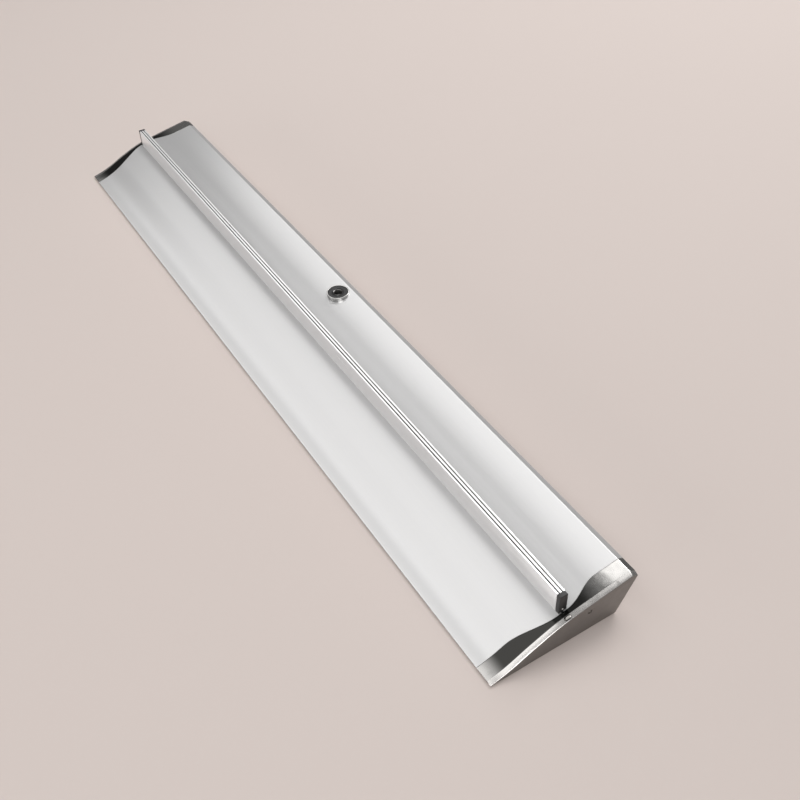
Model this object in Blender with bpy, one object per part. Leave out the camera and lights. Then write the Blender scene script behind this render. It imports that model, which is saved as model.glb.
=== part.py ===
"""Roll-up banner stand, closed: a wedge-shaped cassette base with a spring roller, a clamp rail and a stowed pole.

While modelling, X runs along the stand, Y from the thin front edge to the tall back, and Z up from the
base's flat underside. The empty "stand" then moves everything, so that the middle of the footprint is at
the origin and the rubber pads stand on Z = 0. Sizes are in metres.
"""

import math

import bmesh
import bpy

# Driving sizes
GRAPHIC_WIDTH = 1.000
GRAPHIC_LENGTH = 2.000
FILM_THICK = 0.00016
END_ALLOWANCE = 0.0153  # from the graphic's edge to the outer face of an end cap
BASE_DEPTH = 0.1625
BASE_HEIGHT = 0.046
WALL = 0.002
GAP = 0.0003  # between two pieces that touch
RUN = 0.0003  # between two pieces that turn or slide

# The base's outline, seen from its end
BACK_LEAN = 0.0215
FOOT_DEPTH = BASE_DEPTH - BACK_LEAN  # where the underside ends and the back wall starts to lean out
BACK_EDGE_HEIGHT = BASE_HEIGHT - 0.003
BACK_BEVEL = 0.0065  # depth of the bevel along the top's back edge
TOP_SHAPE = ((0.0, 0.026), (0.115, 0.152), (0.288, 0.435), (0.48, 0.693), (0.72, 0.861), (0.96, 1.0))
BAY_FRONT = 0.014  # where the solid toe ends and the pole bay starts

# The rail and the slot below it
RAIL_TO_BACK = 0.078
RAIL_Y = BASE_DEPTH - RAIL_TO_BACK
RAIL_PROUD = 0.0230  # from the base's top to the rail's top, at the rail's middle
RAIL_THICK = 0.009
JAW_WALL = 0.0016
GROOVE = 0.0012
SPINE_THICK = 0.0023
LIP_HEIGHT = 0.0196  # from the rail's top down to the lips that trap the graphic
LIP_HALF_GAP = 0.0006
REAR_JAW_HEIGHT = 0.0213
PIVOT_DEPTH = 0.0021
BEAD_RADIUS = 0.0008
RAIL_PLUG = 0.0045
SHEET_THICK = 0.0005
SLOT = 0.0026
SLOT_FRONT = RAIL_Y - SLOT / 2
SLOT_BACK = RAIL_Y + SLOT / 2
WEB_FRONT = SLOT_FRONT - WALL

# The roller
TUBE_RADIUS = 0.0095
ROLL_RADIUS = math.sqrt((TUBE_RADIUS + GAP) ** 2 + GRAPHIC_LENGTH * FILM_THICK / math.pi)
ROLLER_Y = RAIL_Y + SHEET_THICK / 2 + RUN + ROLL_RADIUS
ROLLER_Z = WALL + 0.002 + ROLL_RADIUS
TUBE_WALL = 0.0012
TUBE_END = GRAPHIC_WIDTH / 2 - 0.004
PLUG_FLANGE = 0.0025
PLUG_BARREL = 0.016
SHAFT_FLAT = 0.006  # across the flats of the six-sided spring shaft
SHAFT_LENGTH = 0.258
PIN_RADIUS = 0.003
PIN_LENGTH = 0.030
SPRING_WIRE = 0.0008
SPRING_RADIUS = TUBE_RADIUS - TUBE_WALL - SPRING_WIRE - 0.0015
SPRING_TURNS = 20
SPRING_COLLAR_X = GRAPHIC_WIDTH / 2 - 0.032
SPRING_COLLAR = 0.008
SPRING_COLLAR_RADIUS = SPRING_RADIUS + 0.001
SPRING_LENGTH = 0.1874
ANCHOR_LENGTH = 0.018

# The ends
SKIN_END = GRAPHIC_WIDTH / 2 + 0.0052
LIP_DEPTH = 0.0118  # how much further in the chrome reaches at the front and back edges
LIP_RUN_FRONT = 0.056
LIP_RUN_BACK = 0.044
LIP_LEVEL = 0.0055  # half the stretch by the rail where the chrome is narrowest
CAP_BEVEL = 0.0053
CAP_BEVEL_DROP = 0.0012
CAP_PLATE = 0.004
END = GRAPHIC_WIDTH / 2 + END_ALLOWANCE
CAP_INSIDE = END - CAP_PLATE
CAP_SCREW_Y = RAIL_Y + 0.0235
CAP_SCREW_Z = ROLLER_Z + 0.009
CAP_HOLE_RADIUS = 0.0022
BRACKET_START = GRAPHIC_WIDTH / 2 + 0.0015
BRACKET_THICK = 0.007
BRACKET_END = BRACKET_START + BRACKET_THICK
BRACKET_FOOT = 0.0215
BRACKET_FOOT_FRONT = ROLLER_Y + ROLL_RADIUS + 0.0028
BRACKET_FOOT_BACK = FOOT_DEPTH - 0.007
BRACKET_FOOT_TOP = 0.016
FOOT_SCREW_X = GRAPHIC_WIDTH / 2 - 0.013
FOOT_SCREW_Y = (BRACKET_FOOT_FRONT + 0.004, BRACKET_FOOT_BACK - 0.004)
SCREW_RADIUS = 0.0013
SCREW_HEAD = 0.0026
SCREW_HEAD_THICK = 0.0012

# The pole's socket
SOCKET_Y = BASE_DEPTH - 0.023
SOCKET_PROUD = 0.0032
COLLAR_RADIUS = 0.0135
COLLAR_WALL = 0.00105
SOCKET_BORE = 0.00495
BUSH_WALL = 0.0008
BARREL_RADIUS = 0.008
SOCKET_DEPTH = 0.020
SOCKET_FLOOR = 0.002

# The release button in the near cap
BUTTON_X = END - 0.0031
BUTTON_HALF_LENGTH = 0.0035
BUTTON_HALF_WIDTH = 0.0017
BUTTON_HEIGHT = 0.0055
BUTTON_PROUD = 0.0005
BUTTON_SPRING = 0.0036
BUTTON_SPRING_RADIUS = 0.0011
BUTTON_SPRING_WIRE = 0.00025
BUTTON_SPRING_TURNS = 4

# The stowed pole
POLE_RADIUS = 0.0065
POLE_WALL = 0.0008
POLE_LENGTH = 0.680
POLE_PITCH = 2 * POLE_RADIUS + 0.001
POLE_BACK = WEB_FRONT - POLE_RADIUS - 0.0007
POLE_Y = (POLE_BACK - 2 * POLE_PITCH, POLE_BACK - POLE_PITCH, POLE_BACK)
POLE_Z = POLE_RADIUS + 0.0015
FERRULE_OUT = 0.025
FERRULE_IN = 0.020
SPIGOT_OUT = 0.019
HOOK_LENGTH = 0.036
CLIP_X = 0.220
CLIP_WIDTH = 0.012
CLIP_BOTTOM = 0.003

# The feet
PAD_THICK = 0.0009
PAD_X = GRAPHIC_WIDTH / 2 - 0.045
PAD_HALF_LENGTH = 0.012
PAD_HALF_WIDTH = 0.004
PAD_Y = (0.0065, FOOT_DEPTH - 0.013)
STAND_HEIGHT = PAD_THICK + GAP

ROUND = 32
SMALL_ROUND = 20


def clear_scene():
    for thing in list(bpy.data.objects):
        bpy.data.objects.remove(thing)


# ---- meshes -----------------------------------------------------------------------------------


def as_object(name, bm):
    """A new object with this bmesh, its faces turned outward."""
    bmesh.ops.recalc_face_normals(bm, faces=bm.faces)
    mesh = bpy.data.meshes.new(name)
    bm.to_mesh(mesh)
    bm.free()
    thing = bpy.data.objects.new(name, mesh)
    bpy.context.scene.collection.objects.link(thing)
    return thing


def loft(name, rings, closed=False):
    """A skin over rings of points that all have the same count, capped at both ends unless it closes on itself."""
    bm = bmesh.new()
    loops = [[bm.verts.new(point) for point in ring] for ring in rings]
    if not closed:
        bm.faces.new(loops[0])
        bm.faces.new(loops[-1])
    first = 0 if closed else 1
    for k in range(first, len(loops)):
        low, high = loops[k - 1], loops[k]
        for i in range(len(low)):
            bm.faces.new((low[i - 1], low[i], high[i], high[i - 1]))
    return as_object(name, bm)


def prism(name, outline, axis, start, end):
    """The outline drawn out along an axis. It lies in (Y, Z) for X, in (X, Z) for Y and in (X, Y) for Z."""
    order = {"X": lambda a, b, c: (c, a, b), "Y": lambda a, b, c: (a, c, b), "Z": lambda a, b, c: (a, b, c)}[axis]
    return loft(name, [[order(a, b, c) for a, b in outline] for c in (start, end)])


def box(name, low, high):
    corners = [(low[0], low[1]), (high[0], low[1]), (high[0], high[1]), (low[0], high[1])]
    return prism(name, corners, "Z", low[2], high[2])


def turned(name, profile, axis="X", segments=ROUND):
    """A turned piece. Each profile point is (distance along the axis, radius), and a radius of 0 is a tip."""
    bm = bmesh.new()
    loops = []
    for along, radius in profile:
        count = segments if radius > 0 else 1
        loop = []
        for i in range(count):
            angle = 2 * math.pi * i / segments
            a, b = radius * math.cos(angle), radius * math.sin(angle)
            loop.append(bm.verts.new((along, a, b) if axis == "X" else (a, b, along)))
        loops.append(loop)
    for k, low in enumerate(loops):
        high = loops[(k + 1) % len(loops)]
        if len(low) == 1 and len(high) == 1:
            continue
        for i in range(segments):
            corners = [low[i % len(low)], low[(i + 1) % len(low)], high[(i + 1) % len(high)], high[i % len(high)]]
            bm.faces.new(list(dict.fromkeys(corners)))
    return as_object(name, bm)


def rod(name, start, end, radius, axis="X", segments=ROUND):
    return turned(name, [(start, 0), (start, radius), (end, radius), (end, 0)], axis, segments)


def sleeve(name, start, end, inner, outer, axis="X", segments=ROUND):
    return turned(name, [(start, inner), (start, outer), (end, outer), (end, inner)], axis, segments)


def coil(name, axis, length, radius, wire, turns, steps=12, sides=5):
    """A round wire wound along an axis, its wire centre running from 0 to the length."""
    rings = []
    for k in range(turns * steps + 1):
        angle = 2 * math.pi * k / steps
        centre = length * k / (turns * steps)
        ring = []
        for i in range(sides):
            tilt = 2 * math.pi * i / sides
            reach = radius + wire * math.cos(tilt)
            along = centre + wire * math.sin(tilt)
            a, b = reach * math.cos(angle), reach * math.sin(angle)
            ring.append((along, a, b) if axis == "X" else (a, b, along))
        rings.append(ring)
    return loft(name, rings)


def pill(x, y, half_length, half_width, along="Y", steps=8):
    """A flat outline with two straight sides and two round ends."""
    straight = half_length - half_width
    points = []
    for end in (1, -1):
        for i in range(steps + 1):
            angle = math.pi * i / steps
            across = end * half_width * math.cos(angle)
            forward = end * (straight + half_width * math.sin(angle))
            points.append((x + across, y + forward) if along == "Y" else (x + forward, y + across))
    return points


def combine(target, tool, operation):
    """Applies a boolean to the target and removes the tool."""
    modifier = target.modifiers.new(operation.lower(), "BOOLEAN")
    modifier.operation = operation
    modifier.object = tool
    graph = bpy.context.evaluated_depsgraph_get()
    mesh = bpy.data.meshes.new_from_object(target.evaluated_get(graph))
    target.modifiers.remove(modifier)
    target.data = mesh
    mesh.name = target.name
    bpy.data.objects.remove(tool)


def cut(target, tool):
    combine(target, tool, "DIFFERENCE")


def join(target, tool):
    combine(target, tool, "UNION")


def moved(thing, x=0.0, y=0.0, z=0.0):
    thing.location = (x, y, z)
    bpy.context.view_layer.update()
    return thing


# ---- materials and placing --------------------------------------------------------------------


def material(name, colour, roughness, metallic):
    made = bpy.data.materials.new(name)
    made.use_nodes = True
    shader = made.node_tree.nodes["Principled BSDF"]
    shader.inputs["Base Color"].default_value = (*colour, 1)
    shader.inputs["Roughness"].default_value = roughness
    shader.inputs["Metallic"].default_value = metallic
    return made


def empty(name, parent, x=0.0, y=0.0, z=0.0):
    thing = bpy.data.objects.new(name, None)
    bpy.context.scene.collection.objects.link(thing)
    thing.location = (x, y, z)
    thing.parent = parent
    return thing


def dress(thing, look, parent, smooth=False):
    """Gives a finished piece its material and its parent."""
    thing.data.materials.clear()
    thing.data.materials.append(look)
    thing.parent = parent
    if smooth:
        thing.data.shade_smooth()
        thing.data.set_sharp_from_angle(angle=math.radians(35))
    return thing


# ---- outlines of the base ---------------------------------------------------------------------


def knot_slope(i):
    low, high = max(i - 1, 0), min(i + 1, len(TOP_SHAPE) - 1)
    (u0, v0), (u1, v1) = TOP_SHAPE[low], TOP_SHAPE[high]
    return (v1 - v0) / (u1 - u0)


def top_height(y):
    """Height of the curved top at this depth: a smooth curve through TOP_SHAPE's shares of depth and height."""
    share = y / BASE_DEPTH
    i = 0
    while i < len(TOP_SHAPE) - 2 and share > TOP_SHAPE[i + 1][0]:
        i += 1
    (u0, v0), (u1, v1) = TOP_SHAPE[i], TOP_SHAPE[i + 1]
    span = u1 - u0
    t = (share - u0) / span
    start = (2 * t**3 - 3 * t**2 + 1) * v0 + (t**3 - 2 * t**2 + t) * span * knot_slope(i)
    finish = (3 * t**2 - 2 * t**3) * v1 + (t**3 - t**2) * span * knot_slope(i + 1)
    return BASE_HEIGHT * (start + finish)


def under_top(y, inset):
    """Height of a surface that lies inset below the top, measured square to it."""
    step = 0.0005
    slope = (top_height(y + step) - top_height(y - step)) / (2 * step)
    return top_height(y) - inset * math.hypot(1, slope)


def back_wall(z, inset=0.0):
    """Depth of the leaning back wall at this height."""
    lean = (BASE_DEPTH - FOOT_DEPTH) / BACK_EDGE_HEIGHT
    return FOOT_DEPTH + lean * z - inset * math.hypot(1, lean)


def spread(start, end, count):
    return [start + (end - start) * i / (count - 1) for i in range(count)]


def top_line(start, end, count, inset=0.0):
    return [(y, under_top(y, inset) if inset else top_height(y)) for y in spread(start, end, count)]


TOP_BACK = BASE_DEPTH - BACK_BEVEL
RAIL_TOP = top_height(RAIL_Y) + RAIL_PROUD


def back_corner(inset):
    """The corner between the back bevel and the back wall, inset from both."""
    z = BACK_EDGE_HEIGHT - 0.6 * inset
    return (back_wall(z, inset), z)


def outer_outline():
    return [(0, 0)] + top_line(0, TOP_BACK, 34) + [(BASE_DEPTH, BACK_EDGE_HEIGHT), (FOOT_DEPTH, 0)]


def interior_outline(front, inset):
    """The hollow inside the base behind this depth, inset from the top, the back and the underside."""
    top = top_line(front, TOP_BACK - 0.2 * inset, 24, inset)
    return [(front, inset)] + top + [back_corner(inset), (back_wall(inset, inset), inset)]


def housing_outline():
    """One extrusion: the front skin, the web at the slot, the bottom plate, the back wall and the rear skin."""
    front = [(0, 0)] + top_line(0, SLOT_FRONT, 22)
    chamber = interior_outline(SLOT_BACK, WALL)
    inside = [(SLOT_FRONT, WALL)] + chamber[:0:-1]
    rear = top_line(SLOT_BACK, TOP_BACK, 16) + [(BASE_DEPTH, BACK_EDGE_HEIGHT), (FOOT_DEPTH, 0), (WEB_FRONT, 0)]
    bay = top_line(WEB_FRONT, BAY_FRONT, 18, WALL) + [(BAY_FRONT, 0)]
    return front + inside + rear + bay


def skin_end(y):
    """How far from the middle the aluminium reaches at this depth: an S-curve on each side of the rail."""
    run = LIP_RUN_FRONT if y < RAIL_Y else LIP_RUN_BACK
    t = min(max((abs(y - RAIL_Y) - LIP_LEVEL) / (run - LIP_LEVEL), 0), 1)
    return SKIN_END - LIP_DEPTH * t * t * (3 - 2 * t)


def plan_cutter(side, reach, clearance):
    """A tall block bounded by the S-curve: it reaches outward for the housing's end, inward for the cap's lip."""
    depths = spread(-0.005, BASE_DEPTH + 0.005, 44)
    curve = [(side * (skin_end(y) + clearance), y) for y in depths]
    outline = curve + [(side * reach, depths[-1]), (side * reach, depths[0])]
    return prism("plan_cutter", outline, "Z", -0.01, RAIL_TOP)


def skin_block():
    """Everything below the top surface round the socket, with the gap that the socket's collar keeps."""
    front, back = SOCKET_Y - 1.5 * COLLAR_RADIUS, TOP_BACK
    line = [(y, z + GAP) for y, z in top_line(front, back, 12)]
    return prism("skin_block", [(front, 0)] + line + [(back, 0)], "X", -2 * COLLAR_RADIUS, 2 * COLLAR_RADIUS)


# ---- the base ---------------------------------------------------------------------------------


def housing(look, stand):
    body = prism("housing_extrusion", housing_outline(), "X", -END, END)
    for side in (1, -1):
        cut(body, plan_cutter(side, END + 0.01, 0))
        for y in FOOT_SCREW_Y:
            for radius, top in ((SCREW_HEAD + GAP, SCREW_HEAD_THICK + GAP), (SCREW_RADIUS + GAP, 0.006)):
                hole = rod("hole", -0.001, top, radius, "Z", SMALL_ROUND)
                cut(body, moved(hole, side * FOOT_SCREW_X, y))
    hole = rod("hole", BASE_HEIGHT / 2, RAIL_TOP, BARREL_RADIUS + GAP, "Z")
    cut(body, moved(hole, 0, SOCKET_Y))
    dress(body, look, stand, smooth=True)


def bevelled(point):
    """A point of the cap's outer face: it drops below the top, and the drop runs out towards the toe."""
    y, z = point
    drop = CAP_BEVEL_DROP * min(1, z / (0.25 * BASE_HEIGHT))
    return (y - (drop / 2 if y > FOOT_DEPTH else 0), z - drop)


def button_seat(body):
    """The boss inside the near cap with the oval pocket that the release button and its spring sit in."""
    floor = button_floor()
    low = (BUTTON_X - BUTTON_HALF_WIDTH - 0.0018, RAIL_Y - 0.0055, floor - 0.002)
    high = (CAP_INSIDE + 0.0003, RAIL_Y + 0.0055, under_top(RAIL_Y - 0.0055, WALL / 2))
    join(body, box("boss", low, high))
    outline = pill(BUTTON_X, RAIL_Y, BUTTON_HALF_LENGTH + RUN, BUTTON_HALF_WIDTH + RUN)
    cut(body, prism("pocket", outline, "Z", floor, RAIL_TOP))


def end_cap(name, side, look, stand):
    outer = outer_outline()
    face = [bevelled(point) for point in outer]
    rings = []
    for x, ring in ((SKIN_END - 1.1 * LIP_DEPTH, outer), (END - CAP_BEVEL, outer), (END, face)):
        rings.append([(side * x, y, z) for y, z in ring])
    body = loft(name, rings)
    hollow = interior_outline(BAY_FRONT, WALL)
    cut(body, prism("hollow", hollow, "X", side * (SKIN_END - 2 * LIP_DEPTH), side * CAP_INSIDE))
    cut(body, plan_cutter(side, SKIN_END - 2 * LIP_DEPTH, GAP))
    tongue = top_line(BAY_FRONT + 0.016, WEB_FRONT - 0.003, 12, WALL + GAP)
    tongue += top_line(WEB_FRONT - 0.003, BAY_FRONT + 0.016, 12, 2 * WALL + GAP)
    join(body, prism("tongue", tongue, "X", side * (SKIN_END - 0.020), side * (CAP_INSIDE + 0.0003)))
    boss = rod("boss", side * (BRACKET_END + GAP), side * (CAP_INSIDE + 0.0003), 2 * CAP_HOLE_RADIUS)
    join(body, moved(boss, 0, CAP_SCREW_Y, CAP_SCREW_Z))
    hole = rod("hole", side * BRACKET_START, side * (END + 0.001), CAP_HOLE_RADIUS, segments=SMALL_ROUND)
    cut(body, moved(hole, 0, CAP_SCREW_Y, CAP_SCREW_Z))
    if side > 0:
        button_seat(body)
    dress(body, look, stand, smooth=True)


def bracket(name, side, bore, look, stand):
    """Carries one end of the roller: a plate across the base's end and a foot screwed down from below."""
    inset = WALL + GAP
    outline = interior_outline(SLOT_BACK + GAP, inset)
    body = prism(name, outline, "X", side * BRACKET_START, side * BRACKET_END)
    low = (side * (BRACKET_START - BRACKET_FOOT), BRACKET_FOOT_FRONT, inset)
    high = (side * (BRACKET_START + 0.001), BRACKET_FOOT_BACK, BRACKET_FOOT_TOP)
    join(body, box("foot", low, high))
    for y in FOOT_SCREW_Y:
        hole = rod("hole", 0, 0.0105, SCREW_RADIUS + GAP, "Z", SMALL_ROUND)
        cut(body, moved(hole, side * FOOT_SCREW_X, y))
    hole = rod("hole", side * (BRACKET_START - 0.001), side * (BRACKET_END + 0.001), SCREW_RADIUS + GAP, "X", 12)
    cut(body, moved(hole, 0, CAP_SCREW_Y, CAP_SCREW_Z))
    cut(body, moved(bore, 0, ROLLER_Y, ROLLER_Z))
    dress(body, look, stand)


def hexagon(flats):
    radius = flats / math.sqrt(3)
    return [(radius * math.cos(math.pi * i / 3), radius * math.sin(math.pi * i / 3)) for i in range(6)]


def cap_screw(name, side, look, stand):
    head, shank = CAP_HOLE_RADIUS - GAP, SCREW_RADIUS
    seat = BRACKET_END + GAP
    profile = [(BRACKET_START + GAP, 0), (BRACKET_START + GAP, shank), (seat, shank), (seat, head)]
    profile += [(seat + 0.003, head), (seat + 0.003, 0)]
    body = turned(name, [(side * x, r) for x, r in profile], segments=SMALL_ROUND)
    dress(moved(body, 0, CAP_SCREW_Y, CAP_SCREW_Z), look, stand, smooth=True)


def foot_screw(name, side, y, look, stand):
    """One of the two screws that hold a bracket's foot."""
    profile = [(0, 0), (0, SCREW_HEAD), (SCREW_HEAD_THICK, SCREW_HEAD), (SCREW_HEAD_THICK, SCREW_RADIUS)]
    profile += [(0.010, SCREW_RADIUS), (0.010, 0)]
    body = turned(name, profile, "Z", SMALL_ROUND)
    dress(moved(body, side * FOOT_SCREW_X, y, 0.0001), look, stand, smooth=True)


def foot_pad(name, x, y, look, stand):
    body = prism(name, pill(0, 0, PAD_HALF_LENGTH, PAD_HALF_WIDTH, "X"), "Z", 0, PAD_THICK)
    dress(moved(body, x, y, -GAP - PAD_THICK), look, stand, smooth=True)


# ---- the pole's socket ------------------------------------------------------------------------


def socket_top():
    return top_height(SOCKET_Y) + SOCKET_PROUD


def socket_collar(look, stand):
    top = socket_top()
    body = sleeve("socket_collar", top - 0.012, top, COLLAR_RADIUS - COLLAR_WALL, COLLAR_RADIUS, "Z", 40)
    moved(body, 0, SOCKET_Y)
    cut(body, skin_block())
    dress(body, look, stand, smooth=True)


def socket_insert(look, stand):
    """The black disc in the collar, and its closed barrel that hangs inside the base."""
    top = socket_top() - GAP
    bore = SOCKET_BORE + BUSH_WALL + GAP
    disc = COLLAR_RADIUS - COLLAR_WALL - GAP
    body = sleeve("socket_insert", top - 0.012, top, bore, disc, "Z", 40)
    moved(body, 0, SOCKET_Y)
    cut(body, skin_block())
    floor = socket_top() - SOCKET_DEPTH - GAP
    bottom = floor - SOCKET_FLOOR
    profile = [(bottom, 0), (bottom, BARREL_RADIUS), (top, BARREL_RADIUS), (top, bore), (floor, bore), (floor, 0)]
    join(body, moved(turned("barrel", profile, "Z"), 0, SOCKET_Y))
    dress(body, look, stand, smooth=True)


def socket_bush(look, stand):
    top = socket_top()
    body = sleeve("socket_bush", top - SOCKET_DEPTH, top - 0.0006, SOCKET_BORE, SOCKET_BORE + BUSH_WALL, "Z")
    dress(moved(body, 0, SOCKET_Y), look, stand, smooth=True)


# ---- the release button -----------------------------------------------------------------------


def button_top():
    band = top_height(RAIL_Y) - CAP_BEVEL_DROP * (BUTTON_X - END + CAP_BEVEL) / CAP_BEVEL
    return band + BUTTON_PROUD


def button_floor():
    return button_top() - BUTTON_HEIGHT - BUTTON_SPRING - 2 * GAP


def release_button(look, spring_look, stand):
    outline = pill(0, 0, BUTTON_HALF_LENGTH, BUTTON_HALF_WIDTH)
    body = prism("release_button", outline, "Z", -BUTTON_HEIGHT, 0)
    dress(moved(body, BUTTON_X, RAIL_Y, button_top()), look, stand, smooth=True)
    length = BUTTON_SPRING - 2 * BUTTON_SPRING_WIRE
    spring = coil("button_spring", "Z", length, BUTTON_SPRING_RADIUS, BUTTON_SPRING_WIRE, BUTTON_SPRING_TURNS)
    moved(spring, BUTTON_X, RAIL_Y, button_floor() + GAP + BUTTON_SPRING_WIRE)
    dress(spring, spring_look, stand, smooth=True)


# ---- the roller -------------------------------------------------------------------------------


def shaft_bore(side):
    outline = hexagon(SHAFT_FLAT + 2 * GAP)
    return prism("bore", outline, "X", side * (BRACKET_START - 0.001), side * (BRACKET_END + 0.001))


def pin_bore(side):
    return rod("bore", side * (BRACKET_START - 0.001), side * (BRACKET_END + 0.001), PIN_RADIUS + GAP)


def spring_shaft(look, stand):
    body = prism("spring_shaft", hexagon(SHAFT_FLAT), "X", BRACKET_END - SHAFT_LENGTH, BRACKET_END - GAP)
    dress(moved(body, 0, ROLLER_Y, ROLLER_Z), look, stand)


def spring_collar(look, stand):
    """Sits fast on the six-sided shaft and holds the spring's still end."""
    body = rod("spring_collar", SPRING_COLLAR_X, SPRING_COLLAR_X + SPRING_COLLAR, SPRING_COLLAR_RADIUS, segments=SMALL_ROUND)
    outline = hexagon(SHAFT_FLAT + 2 * GAP)
    cut(body, prism("bore", outline, "X", SPRING_COLLAR_X - 0.001, SPRING_COLLAR_X + SPRING_COLLAR + 0.001))
    dress(moved(body, 0, ROLLER_Y, ROLLER_Z), look, stand, smooth=True)


def idler_pin(look, stand):
    body = rod("idler_pin", -BRACKET_END + GAP, -BRACKET_END + PIN_LENGTH, PIN_RADIUS)
    dress(moved(body, 0, ROLLER_Y, ROLLER_Z), look, stand, smooth=True)


def roller_plug(name, side, bore, look, roller):
    """A flanged plug in the tube's end that turns on the shaft or the pin."""
    inner = TUBE_RADIUS - TUBE_WALL - GAP
    start, shoulder = TUBE_END - PLUG_BARREL, TUBE_END + GAP
    end = shoulder + PLUG_FLANGE
    profile = [(start, bore), (start, inner), (shoulder, inner), (shoulder, TUBE_RADIUS), (end, TUBE_RADIUS)]
    profile += [(end, bore)]
    body = turned(name, [(side * x, r) for x, r in profile])
    dress(body, look, roller, smooth=True)


def roller_pieces(looks, roller):
    tube = sleeve("roller_tube", -TUBE_END, TUBE_END, TUBE_RADIUS - TUBE_WALL, TUBE_RADIUS)
    dress(tube, looks["aluminium"], roller, smooth=True)
    half = GRAPHIC_WIDTH / 2
    wound = sleeve("graphic_roll", -half, half, TUBE_RADIUS + GAP, ROLL_RADIUS, segments=40)
    dress(wound, looks["film"], roller, smooth=True)
    shaft_radius = SHAFT_FLAT / math.sqrt(3)
    roller_plug("roller_plug_near", 1, shaft_radius + RUN, looks["grey_plastic"], roller)
    roller_plug("roller_plug_far", -1, PIN_RADIUS + RUN, looks["grey_plastic"], roller)
    spring_end = SPRING_COLLAR_X - GAP
    anchor_end = spring_end - SPRING_LENGTH - GAP
    anchor = sleeve(
        "spring_anchor",
        anchor_end - ANCHOR_LENGTH,
        anchor_end,
        shaft_radius + RUN,
        TUBE_RADIUS - TUBE_WALL - GAP,
    )
    dress(anchor, looks["grey_plastic"], roller, smooth=True)
    length = SPRING_LENGTH - 2 * SPRING_WIRE
    spring = coil("torsion_spring", "X", length, SPRING_RADIUS, SPRING_WIRE, SPRING_TURNS)
    moved(spring, anchor_end + GAP + SPRING_WIRE)
    dress(spring, looks["steel"], roller, smooth=True)


# ---- the rail ---------------------------------------------------------------------------------
# These outlines are measured from the middle of the rail's top.

HALF_RAIL = RAIL_THICK / 2
HALF_SPINE = SPINE_THICK / 2
GROOVE_OUTSIDE = HALF_SPINE + GROOVE
PIVOT_Y = HALF_SPINE + 0.9 * BEAD_RADIUS
EDGE = 0.0003  # the small bevel on the rail's outer edges
TONGUE_TOP = 0.0039
TONGUE_BOTTOM = 0.0053
STUD_DEPTH = 0.0192
STUD_RADIUS = 0.0012


def above_skin(y):
    """Height of a point that clears the top of the base by the gap, at this distance behind the rail's middle."""
    return top_height(RAIL_Y + y) + GAP - RAIL_TOP


def front_jaw_outline():
    inner = -HALF_RAIL + JAW_WALL
    rib = -HALF_SPINE - GAP
    groove = -GROOVE_OUTSIDE
    outside = [(-HALF_RAIL, -EDGE), (-HALF_RAIL + EDGE, 0), (groove, 0)]
    upper_rib = [(groove, -TONGUE_TOP + 0.0009), (rib, -TONGUE_TOP + 0.0009), (rib, -TONGUE_TOP + GAP)]
    pocket = [(inner, -TONGUE_TOP + GAP), (inner, -TONGUE_BOTTOM - GAP)]
    lower_rib = [(rib, -TONGUE_BOTTOM - GAP), (rib, -TONGUE_BOTTOM - 0.0009), (inner, -TONGUE_BOTTOM - 0.0009)]
    lip = [(inner, -LIP_HEIGHT), (-LIP_HALF_GAP, -LIP_HEIGHT), (-LIP_HALF_GAP, above_skin(-LIP_HALF_GAP))]
    return outside + upper_rib + pocket + lower_rib + lip + [(-HALF_RAIL, above_skin(-HALF_RAIL))]


def spine_outline():
    bead = []
    for i in range(9):
        angle = math.pi * (0.5 - i / 8)
        y = max(PIVOT_Y + BEAD_RADIUS * math.cos(angle), HALF_SPINE)
        bead.append((y, -PIVOT_DEPTH + BEAD_RADIUS * math.sin(angle)))
    neck = [(HALF_SPINE, bead[0][1])] + bead + [(HALF_SPINE, bead[-1][1])]
    tongue = -HALF_RAIL + JAW_WALL + GAP
    front = [(-HALF_SPINE, -TONGUE_BOTTOM), (tongue, -TONGUE_BOTTOM), (tongue, -TONGUE_TOP), (-HALF_SPINE, -TONGUE_TOP)]
    return [(-HALF_SPINE, 0), (HALF_SPINE, 0)] + neck + [(HALF_SPINE, -TONGUE_BOTTOM)] + front[1:]


def rear_jaw_outline():
    """The jaw that opens: a half-round notch behind the spine's bead, and a lip at the bottom."""
    notch = BEAD_RADIUS + RUN
    reach = math.acos((GROOVE_OUTSIDE - PIVOT_Y) / notch)
    socket = []
    for i in range(9):
        angle = reach * (1 - i / 4)
        socket.append((PIVOT_Y + notch * math.cos(angle), -PIVOT_DEPTH + notch * math.sin(angle)))
    inner = HALF_RAIL - JAW_WALL
    below = [(GROOVE_OUTSIDE, -0.004), (inner, -0.004), (inner, -LIP_HEIGHT), (LIP_HALF_GAP, -LIP_HEIGHT)]
    bottom = [(LIP_HALF_GAP, -REAR_JAW_HEIGHT), (HALF_RAIL, -REAR_JAW_HEIGHT)]
    return [(HALF_RAIL, -EDGE), (HALF_RAIL - EDGE, 0), (GROOVE_OUTSIDE, 0)] + socket + below + bottom


def clamp_strip_outline():
    """A U that grips the graphic's top edge and rests on the two lips."""
    wide, narrow = 0.0016, SHEET_THICK / 2 + GAP
    bottom, top = -LIP_HEIGHT + GAP, -LIP_HEIGHT + 0.0058
    outside = [(-wide, bottom), (-wide, top), (wide, top), (wide, bottom)]
    return outside + [(narrow, bottom), (narrow, top - 0.001), (-narrow, top - 0.001), (-narrow, bottom)]


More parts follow.
